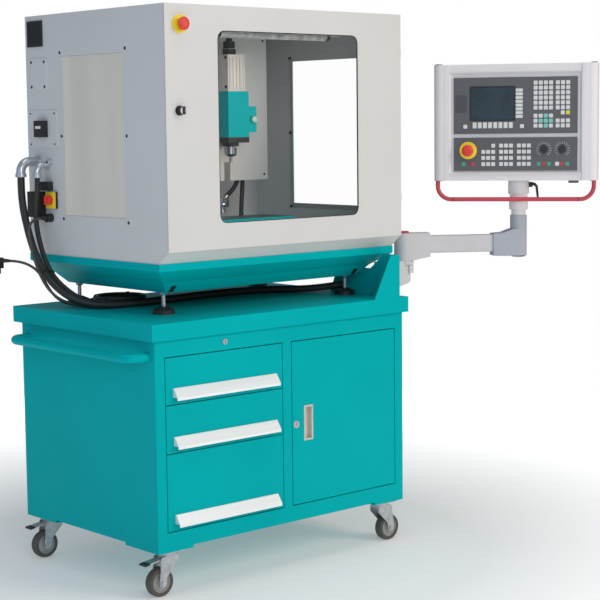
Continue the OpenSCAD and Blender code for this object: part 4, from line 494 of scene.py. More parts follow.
LEFT_X, RIGHT_X, DOOR_Y, BACK_Y = -444, 550, -336.5, 420.5
WALL = 2
SIDE_WINDOW_Y, SIDE_WINDOW_Z = (-123.5, 208.5), (1146, 1656)
WINDOW_X, WINDOW_Z, WINDOW_W, WINDOW_H, WINDOW_R = 53, 1424, 590, 586, 25
SHEET_SCREW_R, PANE_SCREW_OUT = 5, 12
NUT_R, NUT_RISE, NUT_EASE = 5.5, 7, 1
BACK_SCREW_IN, BACK_SCREW_ROWS = 20, (1040, 1403, 1766)

PLATE_RISE, PLATE_R, PLATE_SCREW_SEAT = 2.5, 4, 2.4
BLANK_AT, BLANK_SIZE, BLANK_SCREWS, BLANK_SCREW_R = (347.5, 1602), (101, 105), (38, 40), 4.6
OUTLET_AT, OUTLET_SIZE, OUTLET_SCREWS, OUTLET_SCREW_R = (327.5, 1425), (166, 123), (70, 50), 3
LABEL_AT, LABEL_SIZE, LABEL_OUT, LABEL_RISE, LABEL_R = (333, 1430), (32, 9), 18, 0.6, 2
SWITCH_AT, SWITCH_SIZE, SWITCH_OUT, SWITCH_RISE, SWITCH_R = (282.5, 1193), (58.6, 54.6), 9, 0.8, 4
SWITCH_RING = (21, 16.5)
PORT_AT, PORT_SIDES = (288, 1317), 24
PORT_SECTION = ((5, 0), (11, 0), (11, 4), (8.5, 5), (8.5, 15), (7.5, 16), (5, 16))
FILM_GAP, FILM_OUT, FILM_RISE, FILM_R, FILM_EASE = 1, 0.1, 0.6, 2, 0.2

SEAL_SECTION = ((-0.8, -2.2), (-0.8, 0.3), (-0.2, 0.7), (1.2, 0.7), (1.8, 0.2), (1.8, -2.2))
DOOR_STOP_X, DOOR_STOP_Z, DOOR_COLLAR_R = -388, 1733, 27.6
STOP_STEM_R, COLLAR_RISE = 8, 5.5
KNOB_X, KNOB_Z, KNOB_OUT = -394, 1476, 20
KNOB_FACE_R, KNOB_PIN_R, KNOB_FACE_RISE, KNOB_SIDES = 11, 1.5, 0.7, 28

LAMP_Y, LAMP_Z, LAMP_LENGTH, LAMP_R, LAMP_EASE = -253.5, 1717, 474, 15.4, 1
LAMP_CAP_LENGTH = 14
LAMP_CAP_PROFILE = ((0.4, 0), (0.9, 1), (0.9, 13), (0.4, LAMP_CAP_LENGTH))


def side_screws():
    shape = Shape()
    y0, y1 = SIDE_WINDOW_Y
    z0, z1 = SIDE_WINDOW_Z
    for y in (y0 - PANE_SCREW_OUT, y1 + PANE_SCREW_OUT):
        for z in (z0 - PANE_SCREW_OUT, (z0 + z1) / 2, z1 + PANE_SCREW_OUT):
            shape.screw(left(LEFT_X, y, z), SHEET_SCREW_R)
            shape.screw(right(RIGHT_X, y, z), SHEET_SCREW_R)
            shape.disc(left(RIGHT_X - WALL, y, z), NUT_R, NUT_RISE, NUT_EASE, HEXAGON)
            shape.disc(right(LEFT_X + WALL, y, z), NUT_R, NUT_RISE, NUT_EASE, HEXAGON)
    plates = ((BLANK_AT, BLANK_SCREWS, BLANK_SCREW_R), (OUTLET_AT, OUTLET_SCREWS, OUTLET_SCREW_R))
    for sy in (-1, 1):
        for sz in (-1, 1):
            for (y, z), (dy, dz), r in plates:
                shape.screw(left(LEFT_X - PLATE_SCREW_SEAT, y + sy * dy, z + sz * dz), r)
    for x in (LEFT_X + BACK_SCREW_IN, WINDOW_X, RIGHT_X - BACK_SCREW_IN):
        for z in BACK_SCREW_ROWS:
            if (x, z) != (WINDOW_X, BACK_SCREW_ROWS[1]):
                shape.screw(back(x, BACK_Y, z), SHEET_SCREW_R)
    shape.done("side_screws", "base", "dark_plastic", BLACK)


def side_plates():
    plates = Shape()
    plates.block(left(LEFT_X, *BLANK_AT), *BLANK_SIZE, PLATE_RISE, PLATE_R)
    plates.block(left(LEFT_X, *OUTLET_AT), *OUTLET_SIZE, PLATE_RISE, PLATE_R)
    plates.done("side_cover_plates", "base", "guard_paint", GUARD)
    yellow = Shape()
    yellow.block(left(LEFT_X - SWITCH_OUT, *SWITCH_AT), *SWITCH_SIZE, SWITCH_RISE, SWITCH_R)
    yellow.ring(left(LEFT_X - SWITCH_OUT - SWITCH_RISE, *SWITCH_AT), *SWITCH_RING, SWITCH_RISE)
    yellow.done("main_switch_face", "base", "dark_plastic", YELLOW)
    label = Shape()
    label.block(left(LEFT_X - LABEL_OUT, *LABEL_AT), *LABEL_SIZE, LABEL_RISE, LABEL_R)
    label.done("socket_window", "base", "housing_paint", HOUSING)
    port = Shape()
    port.turned(left(LEFT_X, *PORT_AT), PORT_SECTION, PORT_SIDES)
    port.done("air_port", "base", "chrome", CHROME)
    film = Shape()
    y0, y1 = SIDE_WINDOW_Y
    z0, z1 = SIDE_WINDOW_Z
    film.block(left(LEFT_X + WALL - FILM_OUT, (y0 + y1) / 2, (z0 + z1) / 2),
               y1 - y0 - FILM_GAP, z1 - z0 - FILM_GAP, FILM_RISE, FILM_R, FILM_EASE)
    film.done("left_window_film", "base", "clear_pane", FILM)


def door_details():
    seal = Shape()
    seal.framed(front(WINDOW_X, DOOR_Y, WINDOW_Z), WINDOW_W, WINDOW_H, WINDOW_R, SEAL_SECTION)
    seal.done("window_seal", "guard_door", "black_rubber", RUBBER)
    collar = Shape()
    collar.ring(front(DOOR_STOP_X, DOOR_Y, DOOR_STOP_Z), DOOR_COLLAR_R, STOP_STEM_R, COLLAR_RISE)
    collar.done("door_stop_collar", "guard_door", "dark_plastic", YELLOW)
    face = Shape()
    face.ring(front(KNOB_X, DOOR_Y - KNOB_OUT, KNOB_Z), KNOB_FACE_R, KNOB_PIN_R, KNOB_FACE_RISE, KNOB_SIDES)
    face.done("door_knob_face", "knob", "dark_plastic", HOUSING)


def lamp_details():
    along = right(WINDOW_X - LAMP_LENGTH / 2, LAMP_Y, LAMP_Z)
    r, e = LAMP_R, LAMP_EASE
    tube = Shape()
    tube.lathe(along, [(r - e, 0), (r, e), (r, LAMP_LENGTH - e), (r - e, LAMP_LENGTH)])
    tube.done("lamp_tube", "base", "clear_pane", LAMP)
    caps = Shape()
    for start in (-e, LAMP_LENGTH + e - LAMP_CAP_LENGTH):
        caps.lathe(along, [(r + out, start + run) for out, run in LAMP_CAP_PROFILE])
    caps.done("lamp_tube_caps", "base", "dark_plastic", BLACK)


side_screws()
side_plates()
door_details()
lamp_details()


# Mill: skins, screws, table faces and the coolant fittings behind the table

SPINDLE_X, SPINDLE_Y = 53, -32.5
CARRIAGE_BOX, CARRIAGE_R = ((-22.6, 19.9, 1400.5), (128.6, 35, 1641.6)), 1
WAY_COVER_BOX, WAY_COVER_R = ((-14, 35.2, 1306), (120, 36.8, 1420)), 0.5
NOSE_BOX, NOSE_R = ((8.5, -78, 1372.6), (97.5, 13, 1391.2)), 2
NOSE_RING_Z, NOSE_RING = 1374, (27.6, 19, 13.6)
DOME_AT = (126, -69.3, 1449)
DOME_PROFILE = ((11.4, 0), (11.4, 1.5), (10.4, 4), (8, 6), (4.5, 7.2), (1, 7.6))
PLUG_BASE_Z, PLUG_BASE = 1661.2, ((22.2, 0), (22.2, 18.4), (20, 20.2))
PLUG_HALF, PLUG_Z, PLUG_R = 15, (1680, 1706), 4
PLUG_STEM = ((11, 0), (11, 8), (9, 10), (9, 20), (8, 21))
MILL_SCREW_R, MILL_SCREW_RISE = 5, 3
MOTOR_HALF, MOTOR_SCREW_Y, MOTOR_SCREW_Z = 36, (-58, -8), (1556, 1652)
CARRIAGE_SCREW_X, CARRIAGE_SCREW_Z = (-10, 116), (1420, 1520, 1622)

TABLE_X, TABLE_Y, TABLE_WIDTH = (-157, 263), -112.5, 160
SLOTS, SLOT_WIDTH = 3, 10
STRIP_Z, STRIP_IN, STRIP_R = (1122.8, 1123.5), 0.3, 0.4

# Turned parts of the tap as (place, profile)
TAP_TURNINGS = (
    (right(133, 150, 1158), ((15, 0), (15, 4), (8, 5), (8, 26), (7, 27))),
    (top(162, 150, 1128), ((9, 0), (12, 1), (12, 14), (9, 16), (9, 44), (12, 46), (12, 56), (9, 58))),
    (front(162, 142, 1158), ((9, 0), (9, 10), (6, 12), (6, 20))),
)
TAP_SIDES, SPOUT_SIDES = 20, 16
TAP_LEVER_AT, TAP_LEVER_SIZE, TAP_LEVER_R, TAP_LEVER_EASE = (162, 122, 1166), (9, 34, 5), 4, 1
SPOUT_PLACE = facing((170, 150, 1178), (0, 1, 0), (-0.6, 0, 0.8))
SPOUT_PROFILE = ((8, 0), (10, 1), (10, 16), (8, 18))
COOLANT_R, SUPPLY_STEP, DRAIN_STEP = 8, 4, 8
SUPPLY_HOSE = [(181, 150, 1186), (196, 148, 1198), (212, 144, 1216), (224, 140, 1242), (228, 138, 1272)]
DRAIN_HOSE = [(240, 132, 1270), (240, 132, 1230), (236, 132, 1180), (232, 132, 1120), (232, 132, 1040),
              (236, 132, 943)]
COVER_Y, COVER_SCREW_X, COVER_SCREW_Z, COVER_SCREW_R = 37.5, (-153, 259), (1262, 1715), 4


def mill_head():
    carriage = Shape()
    carriage.box(*CARRIAGE_BOX, CARRIAGE_R)
    carriage.done("carriage_skin", "head", "mill_paint", CARRIAGE)
    cover = Shape()
    cover.box(*WAY_COVER_BOX, WAY_COVER_R)
    cover.done("way_cover", "head", "guard_paint", COVER)
    nose = Shape()
    nose.box(*NOSE_BOX, NOSE_R)
    nose.ring(under(SPINDLE_X, SPINDLE_Y, NOSE_RING_Z), *NOSE_RING)
    nose.done("nose_plate", "head", "dark_plastic", BLACK)
    dome = Shape()
    dome.lathe(front(*DOME_AT), DOME_PROFILE)
    dome.done("head_button_dome", "head", "mill_paint", MINT)
    fittings = Shape()
    fittings.lathe(top(SPINDLE_X, SPINDLE_Y, PLUG_BASE_Z), PLUG_BASE)
    fittings.box((SPINDLE_X - PLUG_HALF, SPINDLE_Y - PLUG_HALF, PLUG_Z[0]),
                 (SPINDLE_X + PLUG_HALF, SPINDLE_Y + PLUG_HALF, PLUG_Z[1]), PLUG_R)
    fittings.lathe(top(SPINDLE_X, SPINDLE_Y, PLUG_Z[1]), PLUG_STEM)
    for z in MOTOR_SCREW_Z:
        for y in MOTOR_SCREW_Y:
            fittings.screw(left(SPINDLE_X - MOTOR_HALF, y, z), MILL_SCREW_R, MILL_SCREW_RISE)
            fittings.screw(right(SPINDLE_X + MOTOR_HALF, y, z), MILL_SCREW_R, MILL_SCREW_RISE)
    for x in CARRIAGE_SCREW_X:
        for z in CARRIAGE_SCREW_Z:
            fittings.screw(front(x, CARRIAGE_BOX[0][1], z), MILL_SCREW_R, MILL_SCREW_RISE)
    fittings.done("motor_fittings", "head", "dark_plastic", BLACK)


def mill_table():
    strips = Shape()
    x0, x1 = TABLE_X
    edges = [0]
    for k in range(SLOTS):
        middle = TABLE_WIDTH * (k + 0.5) / SLOTS
        edges += [middle - SLOT_WIDTH / 2, middle + SLOT_WIDTH / 2]
    edges.append(TABLE_WIDTH)
    for a, b in zip(edges[::2], edges[1::2]):
        strips.box((x0 + STRIP_IN, TABLE_Y + a + STRIP_IN, STRIP_Z[0]),
                   (x1 - STRIP_IN, TABLE_Y + b - STRIP_IN, STRIP_Z[1]), STRIP_R)
    strips.done("table_faces", "table", "table_iron", IRON)


def coolant():
    """Tap on the column's side, with its hose and the drain hose from behind the cover."""
    tap = Shape()
    for place, profile in TAP_TURNINGS:
        tap.lathe(place, profile, TAP_SIDES)
    tap.block(front(*TAP_LEVER_AT), *TAP_LEVER_SIZE, TAP_LEVER_R, TAP_LEVER_EASE)
    tap.lathe(SPOUT_PLACE, SPOUT_PROFILE, SPOUT_SIDES)
    tap.done("coolant_tap", "base", "chrome", CHROME)
    hoses = Shape()
    hoses.tube(smooth_path(SUPPLY_HOSE, SUPPLY_STEP), COOLANT_R, HOSE_SIDES)
    hoses.tube(smooth_path(DRAIN_HOSE, DRAIN_STEP), COOLANT_R, HOSE_SIDES)
    hoses.done("coolant_hoses", "base", "black_rubber", RUBBER)
    screws = Shape()
    for x in COVER_SCREW_X:
        for z in COVER_SCREW_Z:
            screws.screw(front(x, COVER_Y, z), COVER_SCREW_R)
    screws.done("cover_screws", "base", "dark_plastic", BLACK)


mill_head()
mill_table()
coolant()


# Cabinet: locks, levelling studs, skid plugs and casters

CABINET_Y = -362.5
DRAWER_LOCK_AT, DRAWER_LOCK_R = (-253.5, CABINET_Y, 767), 9
CUPBOARD_LOCK_AT, CUPBOARD_LOCK_R = (37, CABINET_Y, 469), 12
LOCK_RIM_OUT, LOCK_RIM_IN, LOCK_RIM_RISE = 0.4, 2.2, 2.6
LOCK_FACE_IN, LOCK_FACE_RISE, LOCK_FACE_EASE = 2, 2.3, 0.4
KEY_SLOT_WIDTH, KEY_SLOT_RISE, KEY_SLOT_R, KEY_SLOT_EASE = 1.6, 0.3, 0.7, 0.1

FOOT_X, FOOT_Y = (-338.5, 444.5), (-165.5, 297.5)
STUD_Z, STUD_STEP, STUD_POINTS, STUD_R, STUD_SIDES = 868.5, 0.5, 75, 6.6, 16
STUD_THREAD, STUD_ANGLE = (2, 0.5), 60
STUD_NUT_Z, STUD_NUT = 905.6, ((12, 0), (12.9, 0.6), (12.9, 7.4), (12, 8.2))
SKID_Z, SKID_WIDTH = (916.2, 936.8), 20.6
# Each end of a skid tube as the y of the plug's inner face, its low edge and its lip
SKID_ENDS = ((-188, -201.4, -221), (320, 333.4, 353))

CASTER_X, CASTER_Y, AXLE_Z = 491, 317.5, 45
TYRE_SECTION = ((32, -13), (36, -13.4), (40, -15), (42.6, -14), (44.4, -10.5), (45, -6), (45, 6),
                (44.4, 10.5), (42.6, 14), (40, 15), (36, 13.4), (32, 13))
HUB_SECTION = ((5.1, -15), (12, -15), (13, -14), (13, -6), (15, -5), (26, -5), (28, -7), (29.5, -11.5),
               (32.1, -11.5), (32.1, 11.5), (29.5, 11.5), (28, 7), (26, 5), (15, 5), (13, 6), (13, 14),
               (12, 15), (5.1, 15))
TYRE_SIDES, HUB_SIDES, WHEEL_ANGLE = 56, 48, 30
PEDAL_X, PEDAL_Z, PEDAL_UP = -553.4, 108.2, (-0.15, 0, 1)
PEDAL_SIZE, PEDAL_R, PEDAL_EASE = (35, 6.4, 18), 2.5, 1


def lock_face(name, place, r, body):
    shape = Shape()
    shape.ring(place, r + LOCK_RIM_OUT, r - LOCK_RIM_IN, LOCK_RIM_RISE, ROUND_SIDES)
    shape.disc(place, r - LOCK_FACE_IN, LOCK_FACE_RISE, LOCK_FACE_EASE)
    shape.done(name, body, "chrome", ZINC)
    slot = Shape()
    slot.block(place, KEY_SLOT_WIDTH, r, KEY_SLOT_RISE, KEY_SLOT_R, KEY_SLOT_EASE, LOCK_FACE_RISE)
    slot.done(name + "_slot", body, "dark_plastic", BLACK)


def levelling_studs():
    shape = Shape()
    for x in FOOT_X:
        for y in FOOT_Y:
            rise = [(x, y, STUD_Z + STUD_STEP * i) for i in range(STUD_POINTS)]
            shape.tube(rise, STUD_R, STUD_SIDES, ribs=STUD_THREAD)
            shape.lathe(top(x, y, STUD_NUT_Z), STUD_NUT, HEXAGON)
    shape.done("levelling_studs", "base", "zinc", ZINC, STUD_ANGLE)


def skid_plugs():
    """Wedges that close the ends of the tray's skid tubes along the tray's slope."""
    shape = Shape()
    low, high = SKID_Z
    for x in FOOT_X:
        for near, foot, lip in SKID_ENDS:
            section = ((near, low), (foot, low), (lip, high), (near, high))
            shape.loft(right(x - SKID_WIDTH / 2, 0, 0),
                       [[(y, z, across) for y, z in section] for across in (0, SKID_WIDTH)])
    shape.done("skid_plugs", "base", "dark_plastic", BLACK)


def casters():
    for end, y in (("f", -CASTER_Y), ("r", CASTER_Y)):
        for side, x in (("l", -CASTER_X), ("r", CASTER_X)):
            corner = end + side
            tyre = Shape()
            tyre.turned(front(x, y, AXLE_Z), TYRE_SECTION, TYRE_SIDES)
            piece = tyre.done("tyre_" + corner, "wheel_" + corner, "wheel_rubber", TYRE, WHEEL_ANGLE)
            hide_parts("caster_wheel_" + corner)
            hub = Shape()
            hub.turned(front(x, y, AXLE_Z), HUB_SECTION, HUB_SIDES)
            hub.done("hub_" + corner, "wheel_" + corner, "dark_plastic", HUB, WHEEL_ANGLE)
        tip = Shape()
        tip.block(facing((PEDAL_X, y, PEDAL_Z), (0, 1, 0), PEDAL_UP), *PEDAL_SIZE, PEDAL_R, PEDAL_EASE)
        tip.done("pedal_tip_" + end + "l", "pedal_" + end + "l", "dark_plastic", BLACK)


lock_face("drawer_lock", front(*DRAWER_LOCK_AT), DRAWER_LOCK_R, "base")
lock_face("cupboard_lock", front(*CUPBOARD_LOCK_AT), CUPBOARD_LOCK_R, "cupboard")
levelling_studs()
skid_plugs()
casters()


# Ties round the coil and round the cords that come down the side

BUNDLE_PLACE = facing((-503, 254, 958), (1, 0, 0), (0, 0.73, -0.68))
BUNDLE_STEP, BUNDLE_SIDES, STRAP_HALF, STRAP_RISE = 4, 24, 2.6, 1.6
COIL_TIE_TURNS, COIL_MIDDLE_R, COIL_MIDDLE_Z = (35, 205), 80, TOP_Z + 14.7
COIL_TIE_W, COIL_TIE_H, COIL_TIE_R = 25.6, 29.6, 6
COIL_TIE_SECTION = ((0, -2.5), (0, 2.5), (1.2, 2.5), (1.2, -2.5))


def hull(points):
    """Outline of the given plane points, anticlockwise."""
    def side(line, p):
        while len(line) > 1 and (line[-1] - line[-2]).cross(p - line[-1]) <= 0:
            line.pop()
        line.append(p)

    ordered = sorted(points, key=lambda p: (p.x, p.y))
    low, high = [], []
    for p in ordered:
        side(low, p)
    for p in ordered[::-1]:
        side(high, p)
    return low[:-1] + high[:-1]


def bundle_tie(shape):
    """Strap drawn round the cords where they come down the side, square to the large conduit."""
    routes = ((CONDUIT_BIG, BIG_R), (CONDUIT_SMALL, SMALL_R), (LEAD_IN, LEAD_R), (LEAD_OUT, LEAD_R))
    around = []
    for route, radius in routes:
        path = [BUNDLE_PLACE.inverted() @ p for p in smooth_path(route, BUNDLE_STEP)]
        spots = [a.lerp(b, a.z / (a.z - b.z)) for a, b in zip(path, path[1:]) if a.z * b.z < 0]
        spot = min(spots, key=lambda p: p.length)
        around += [Vector((spot.x + radius * math.cos(a), spot.y + radius * math.sin(a)))
                   for a in circle(BUNDLE_SIDES)]
    line = hull(around)
    middle = sum(line, Vector((0, 0))) / len(line)
    rows = []
    for p in line:
        out = p + STRAP_RISE * (p - middle).normalized()
        rows.append([(*p, -STRAP_HALF), (*out, -STRAP_HALF), (*out, STRAP_HALF), (*p, STRAP_HALF)])
    shape.wrap(BUNDLE_PLACE, rows)


def ties():
    shape = Shape()
    for turn in COIL_TIE_TURNS:
        a = math.radians(turn)
        out = Vector((math.cos(a), math.sin(a), 0))
        place = facing(COIL + COIL_MIDDLE_R * out + Vector((0, 0, COIL_MIDDLE_Z)), out, (0, 0, 1))
        shape.framed(place, COIL_TIE_W, COIL_TIE_H, COIL_TIE_R, COIL_TIE_SECTION)
    bundle_tie(shape)
    shape.done("cable_ties", "base", "black_rubber", BLACK)


ties()


# Operator arm and the panel's housing

PIVOT, ARM_ANGLE, ARM_REACH = Vector((617, -284, 0)), math.radians(-35), 405
ARM_WAY = Vector((math.cos(ARM_ANGLE), math.sin(ARM_ANGLE), 0))
ELBOW = PIVOT + ARM_REACH * ARM_WAY
PENDANT_ANGLE, PENDANT_SHIFT = math.radians(-53.9), (-7.5, 0, 0)
PENDANT = (Matrix.Translation(ELBOW) @ Matrix.Rotation(PENDANT_ANGLE, 4, "Z")
           @ Matrix.Translation(PENDANT_SHIFT))

ARM_CAP_Z, ARM_CAP_R, ARM_CAP_RISE, ARM_CAP_EASE = 1052.6, 16.5, 7, 1.2
SLEEVE_START, SLEEVE_Z, SLEEVE_R, SLEEVE_ANGLE = 309, 1007.75, 5, 30
# Sections of the sleeve as (width, height, lift, run along the arm)
SLEEVE_SECTIONS = ((53, 74.5, 0, 0), (56, 77.5, 0, 1.8), (58.6, 81.6, 0.85, 42))
ELBOW_CAP_Z, ELBOW_CAP, ELBOW_CAP_SIDES = 963.6, ((23, 0), (24.5, 1.2), (24.5, 4.8)), 40
MOUNT_X, MOUNT_SCREW_Y, MOUNT_SCREW_Z = 511, (-308, -260), (872, 944)
MOUNT_SCREW_R, MOUNT_SCREW_RISE = 5, 4

HOUSING_Z, FACE_Y, PANEL_Y = (1230, 1628), -70, -64
RECESS_W, RECESS_Z, RECESS_R, RECESS_ANGLE = 455, (1252, 1602), 6, 25
RECESS_SECTION = ((0, 0.2), (0, -11.8), (9, -11.8), (9, -11.2), (1, 0.2))
FRAME_X, FRAME_Y, FRAME_SIZE, FRAME_IN, FRAME_R, FRAME_EASE = 237.4, -59.9, (21.4, 20), 0.2, 0.6, 0.4
CAP_X, CAP_Y, CAP_SIZE, CAP_R = 265.5, -20, (22, 86), 11
CAP_TOP_RISE, CAP_TOP_EASE, CAP_FOOT_RISE, CAP_FOOT_EASE = 3, 1.5, 2, 1
GLAND_X, GLAND_Y, GLAND_SIZE, GLAND_R, GLAND_EASE = 198, -50, (34, 20, 9), 3, 1
HANDLE_XS, HANDLE_Y, HANDLE_JOINT_Z, HANDLE_JOINT_SIDES = (-215, 213), -56, 1165.5, 24
HANDLE_JOINT = ((6, 0), (7.8, 0), (7.8, 2), (6, 2))


def arm_details():
    cap = Shape()
    cap.disc(top(PIVOT.x, PIVOT.y, ARM_CAP_Z), ARM_CAP_R, ARM_CAP_RISE, ARM_CAP_EASE)
    cap.done("arm_cap", "swing_arm", "red_paint", BAR)
    sleeve = Shape()
    start = PIVOT + SLEEVE_START * ARM_WAY
    sleeve.loft(facing((start.x, start.y, SLEEVE_Z), (-ARM_WAY.y, ARM_WAY.x, 0), (0, 0, 1)),
                [[(x, y + lift, run) for x, y in round_rect(w, h, SLEEVE_R)]
                 for w, h, lift, run in SLEEVE_SECTIONS])
    sleeve.done("elbow_socket", "swing_arm", "arm_paint", ELBOW_COAT, SLEEVE_ANGLE)
    foot = Shape()
    foot.lathe(top(ELBOW.x, ELBOW.y, ELBOW_CAP_Z), ELBOW_CAP, ELBOW_CAP_SIDES)
    foot.done("elbow_cap", "swing_arm", "dark_plastic", BLACK)
    screws = Shape()
    for y in MOUNT_SCREW_Y:
        for z in MOUNT_SCREW_Z:
            screws.screw(right(MOUNT_X, y, z), MOUNT_SCREW_R, MOUNT_SCREW_RISE)
    screws.done("mount_screws", "base", "dark_plastic", BLACK)


def on_panel(x, z, y=PANEL_Y):
    return PENDANT @ front(x, y, z)


def housing_details():
    bevel = Shape()
    low, high = RECESS_Z
    bevel.framed(on_panel(0, (low + high) / 2, FACE_Y), RECESS_W, high - low, RECESS_R, RECESS_SECTION)
    bevel.done("recess_bevel", "pendant", "housing_paint", HOUSING, RECESS_ANGLE)
    frames, caps = Shape(), Shape()
    low, high = HOUSING_Z
    for side in (-1, 1):
        frames.block(PENDANT @ top(side * FRAME_X, FRAME_Y, low + FRAME_IN), *FRAME_SIZE,
                     high - low - 2 * FRAME_IN, FRAME_R, FRAME_EASE)
        caps.block(PENDANT @ top(side * CAP_X, CAP_Y, high), *CAP_SIZE, CAP_TOP_RISE, CAP_R, CAP_TOP_EASE)
        caps.block(PENDANT @ under(side * CAP_X, CAP_Y, low), *CAP_SIZE, CAP_FOOT_RISE, CAP_R, CAP_FOOT_EASE)
    frames.done("housing_frames", "pendant", "housing_paint", HOUSING)
    caps.block(PENDANT @ under(GLAND_X, GLAND_Y, low), *GLAND_SIZE, GLAND_R, GLAND_EASE)
    caps.done("housing_caps", "pendant", "panel_plastic", PANEL)
    joints = Shape()
    for x in HANDLE_XS:
        joints.turned(PENDANT @ right(x, HANDLE_Y, HANDLE_JOINT_Z), HANDLE_JOINT, HANDLE_JOINT_SIDES)
    joints.done("handle_joints", "pendant", "dark_plastic", BLACK)


arm_details()
housing_details()


# Keys, screen, stop collar and dial marks on the panel

DISPLAY_TOP, CONTROL_TOP = 1583, 1378
KEY_SIZE, KEY_LAP, KEY_RISE, KEY_R = (13, 13), 0.4, 1.5, 2
DISPLAY_X, DISPLAY_Z, DISPLAY_DX, DISPLAY_DZ = 69, DISPLAY_TOP - 20, 17.4, 17
# Groups of keys as (columns, rows), where they start in key pitches, and the cursor cross in its group
LETTER_KEYS, DIGIT_KEYS, RESET_KEYS, CURSOR_KEYS, LAST_KEYS = (4, 6), (3, 6), (2, 1), (4, 3), (3, 2)
DIGIT_COLUMN, RESET_ROW, CURSOR_ROW, LAST_ROW = 4.3, 6, 6.6, 7.6
CURSOR_CROSS = ((2, 0), (2, 2), (1, 1), (2, 1), (3, 1))
CORNER_KEYS = [(-171, 1416), (23, 1416)]
SCREEN_X, SCREEN_Z = -77, DISPLAY_TOP - 89
LOW_KEYS, LOW_KEY_Z, LOW_KEY_DX, LOW_KEY_SIZE = 8, 1420, 17.7, (13, 20)
SIDE_KEYS, SIDE_KEY_X, SIDE_KEY_DZ, SIDE_KEY_SIZE = 8, 13.5, 12.8, (24, 10)
CONTROL_Z, CONTROL_DX, CONTROL_DZ, CONTROL_KEYS = CONTROL_TOP - 28, 17, 21, (3, 4)
CONTROL_XS, GREEN_X, RED_X = (-109, -48, 13), -177, -145
DIAL_XS, DIAL_Z = (98, 160), CONTROL_TOP - 42

STOP_X, STOP_Z, PANEL_COLLAR_R = -161, CONTROL_TOP - 44, 29.8
GLASS_SINK, GLASS_SIZE, GLASS_R, GLASS_EASE = 2, (149, 110, 0.8), 1, 0.3
TRIM_W, TRIM_H, TRIM_R = 158, 119, 4
TRIM_SECTION = ((0, 0), (0, 0.5), (1, 0.9), (3.4, 0.9), (4, 0.2), (4, 0))
FLAP_X, FLAP_SIZE, FLAP_R, FLAP_EASE = -184.6, (38, 58, 1.6), 3, 0.8
FLAP_GRIP_DOWN, FLAP_GRIP_SIZE, FLAP_GRIP_R, FLAP_GRIP_EASE = 22, (14, 3, 2.4), 1.2, 0.6
MARKS, MARK_START, MARK_STEP, MARK_AT = 15, -50, 20, 22.5
MARK_SIZE, MARK_R, MARK_EASE = (8, 2.2, 0.4), 0.5, 0.1


def key_caps(name, material, places, size=KEY_SIZE):
    shape = Shape()
    for x, z in places:
        shape.block(on_panel(x, z), size[0] + KEY_LAP, size[1] + KEY_LAP, KEY_RISE, KEY_R)
    shape.done(name, "pendant", "panel_plastic", material)


def block_of(x, z, nx, nz, dx, dz):
    """Places of keys in columns and rows, from the top left one."""
    return [(x + c * dx, z - r * dz) for r in range(nz) for c in range(nx)]


def display_keys():
    x, z, dx, dz = DISPLAY_X, DISPLAY_Z, DISPLAY_DX, DISPLAY_DZ
    x2 = x + DIGIT_COLUMN * dx
    cursor = z - CURSOR_ROW * dz
    cross = [(x + c * dx, cursor - r * dz) for c, r in CURSOR_CROSS]
    low = block_of(x2 + dx, z - RESET_ROW * dz, *RESET_KEYS, dx, dz)
    grey = block_of(x, z, *LETTER_KEYS, dx, dz) + block_of(x2, z, *DIGIT_KEYS, dx, dz) + low[:1]
    grey += block_of(x2, z - LAST_ROW * dz, *LAST_KEYS, dx, dz) + CORNER_KEYS
    grey += [p for p in block_of(x, cursor, *CURSOR_KEYS, dx, dz) if p not in cross]
    key_caps("display_keys", KEY, grey)
    key_caps("cursor_keys", KEY_TEAL, cross)
    key_caps("reset_key", KEY_YELLOW, low[1:])
    first_x = SCREEN_X - (LOW_KEYS - 1) / 2 * LOW_KEY_DX
    key_caps("screen_keys_low", KEY, block_of(first_x, LOW_KEY_Z, LOW_KEYS, 1, LOW_KEY_DX, 0), LOW_KEY_SIZE)
    first_z = SCREEN_Z + (SIDE_KEYS - 1) / 2 * SIDE_KEY_DZ
    key_caps("screen_keys_side", KEY, block_of(SIDE_KEY_X, first_z, 1, SIDE_KEYS, 0, SIDE_KEY_DZ),
             SIDE_KEY_SIZE)


def control_keys():
    z, dx, dz = CONTROL_Z, CONTROL_DX, CONTROL_DZ
    columns, rows = CONTROL_KEYS
    low = z - (rows - 1) * dz
    first, *others = CONTROL_XS
    grey = [(first + (columns - 1) * dx, z)] + block_of(first, z - dz, columns, rows - 1, dx, dz)
    for x in others:
        grey += block_of(x, z, columns, rows, dx, dz)
    key_caps("control_keys", KEY, grey)
    a, b = DIAL_XS
    key_caps("green_keys", KEY_GREEN, [(GREEN_X, low), (a - dx, low), (a + dx, low), (b + dx, low)])
    key_caps("red_keys", KEY_RED, [(RED_X, low), (a, low), (b, low)])
    key_caps("white_key", KEY, [(b - dx, low)])


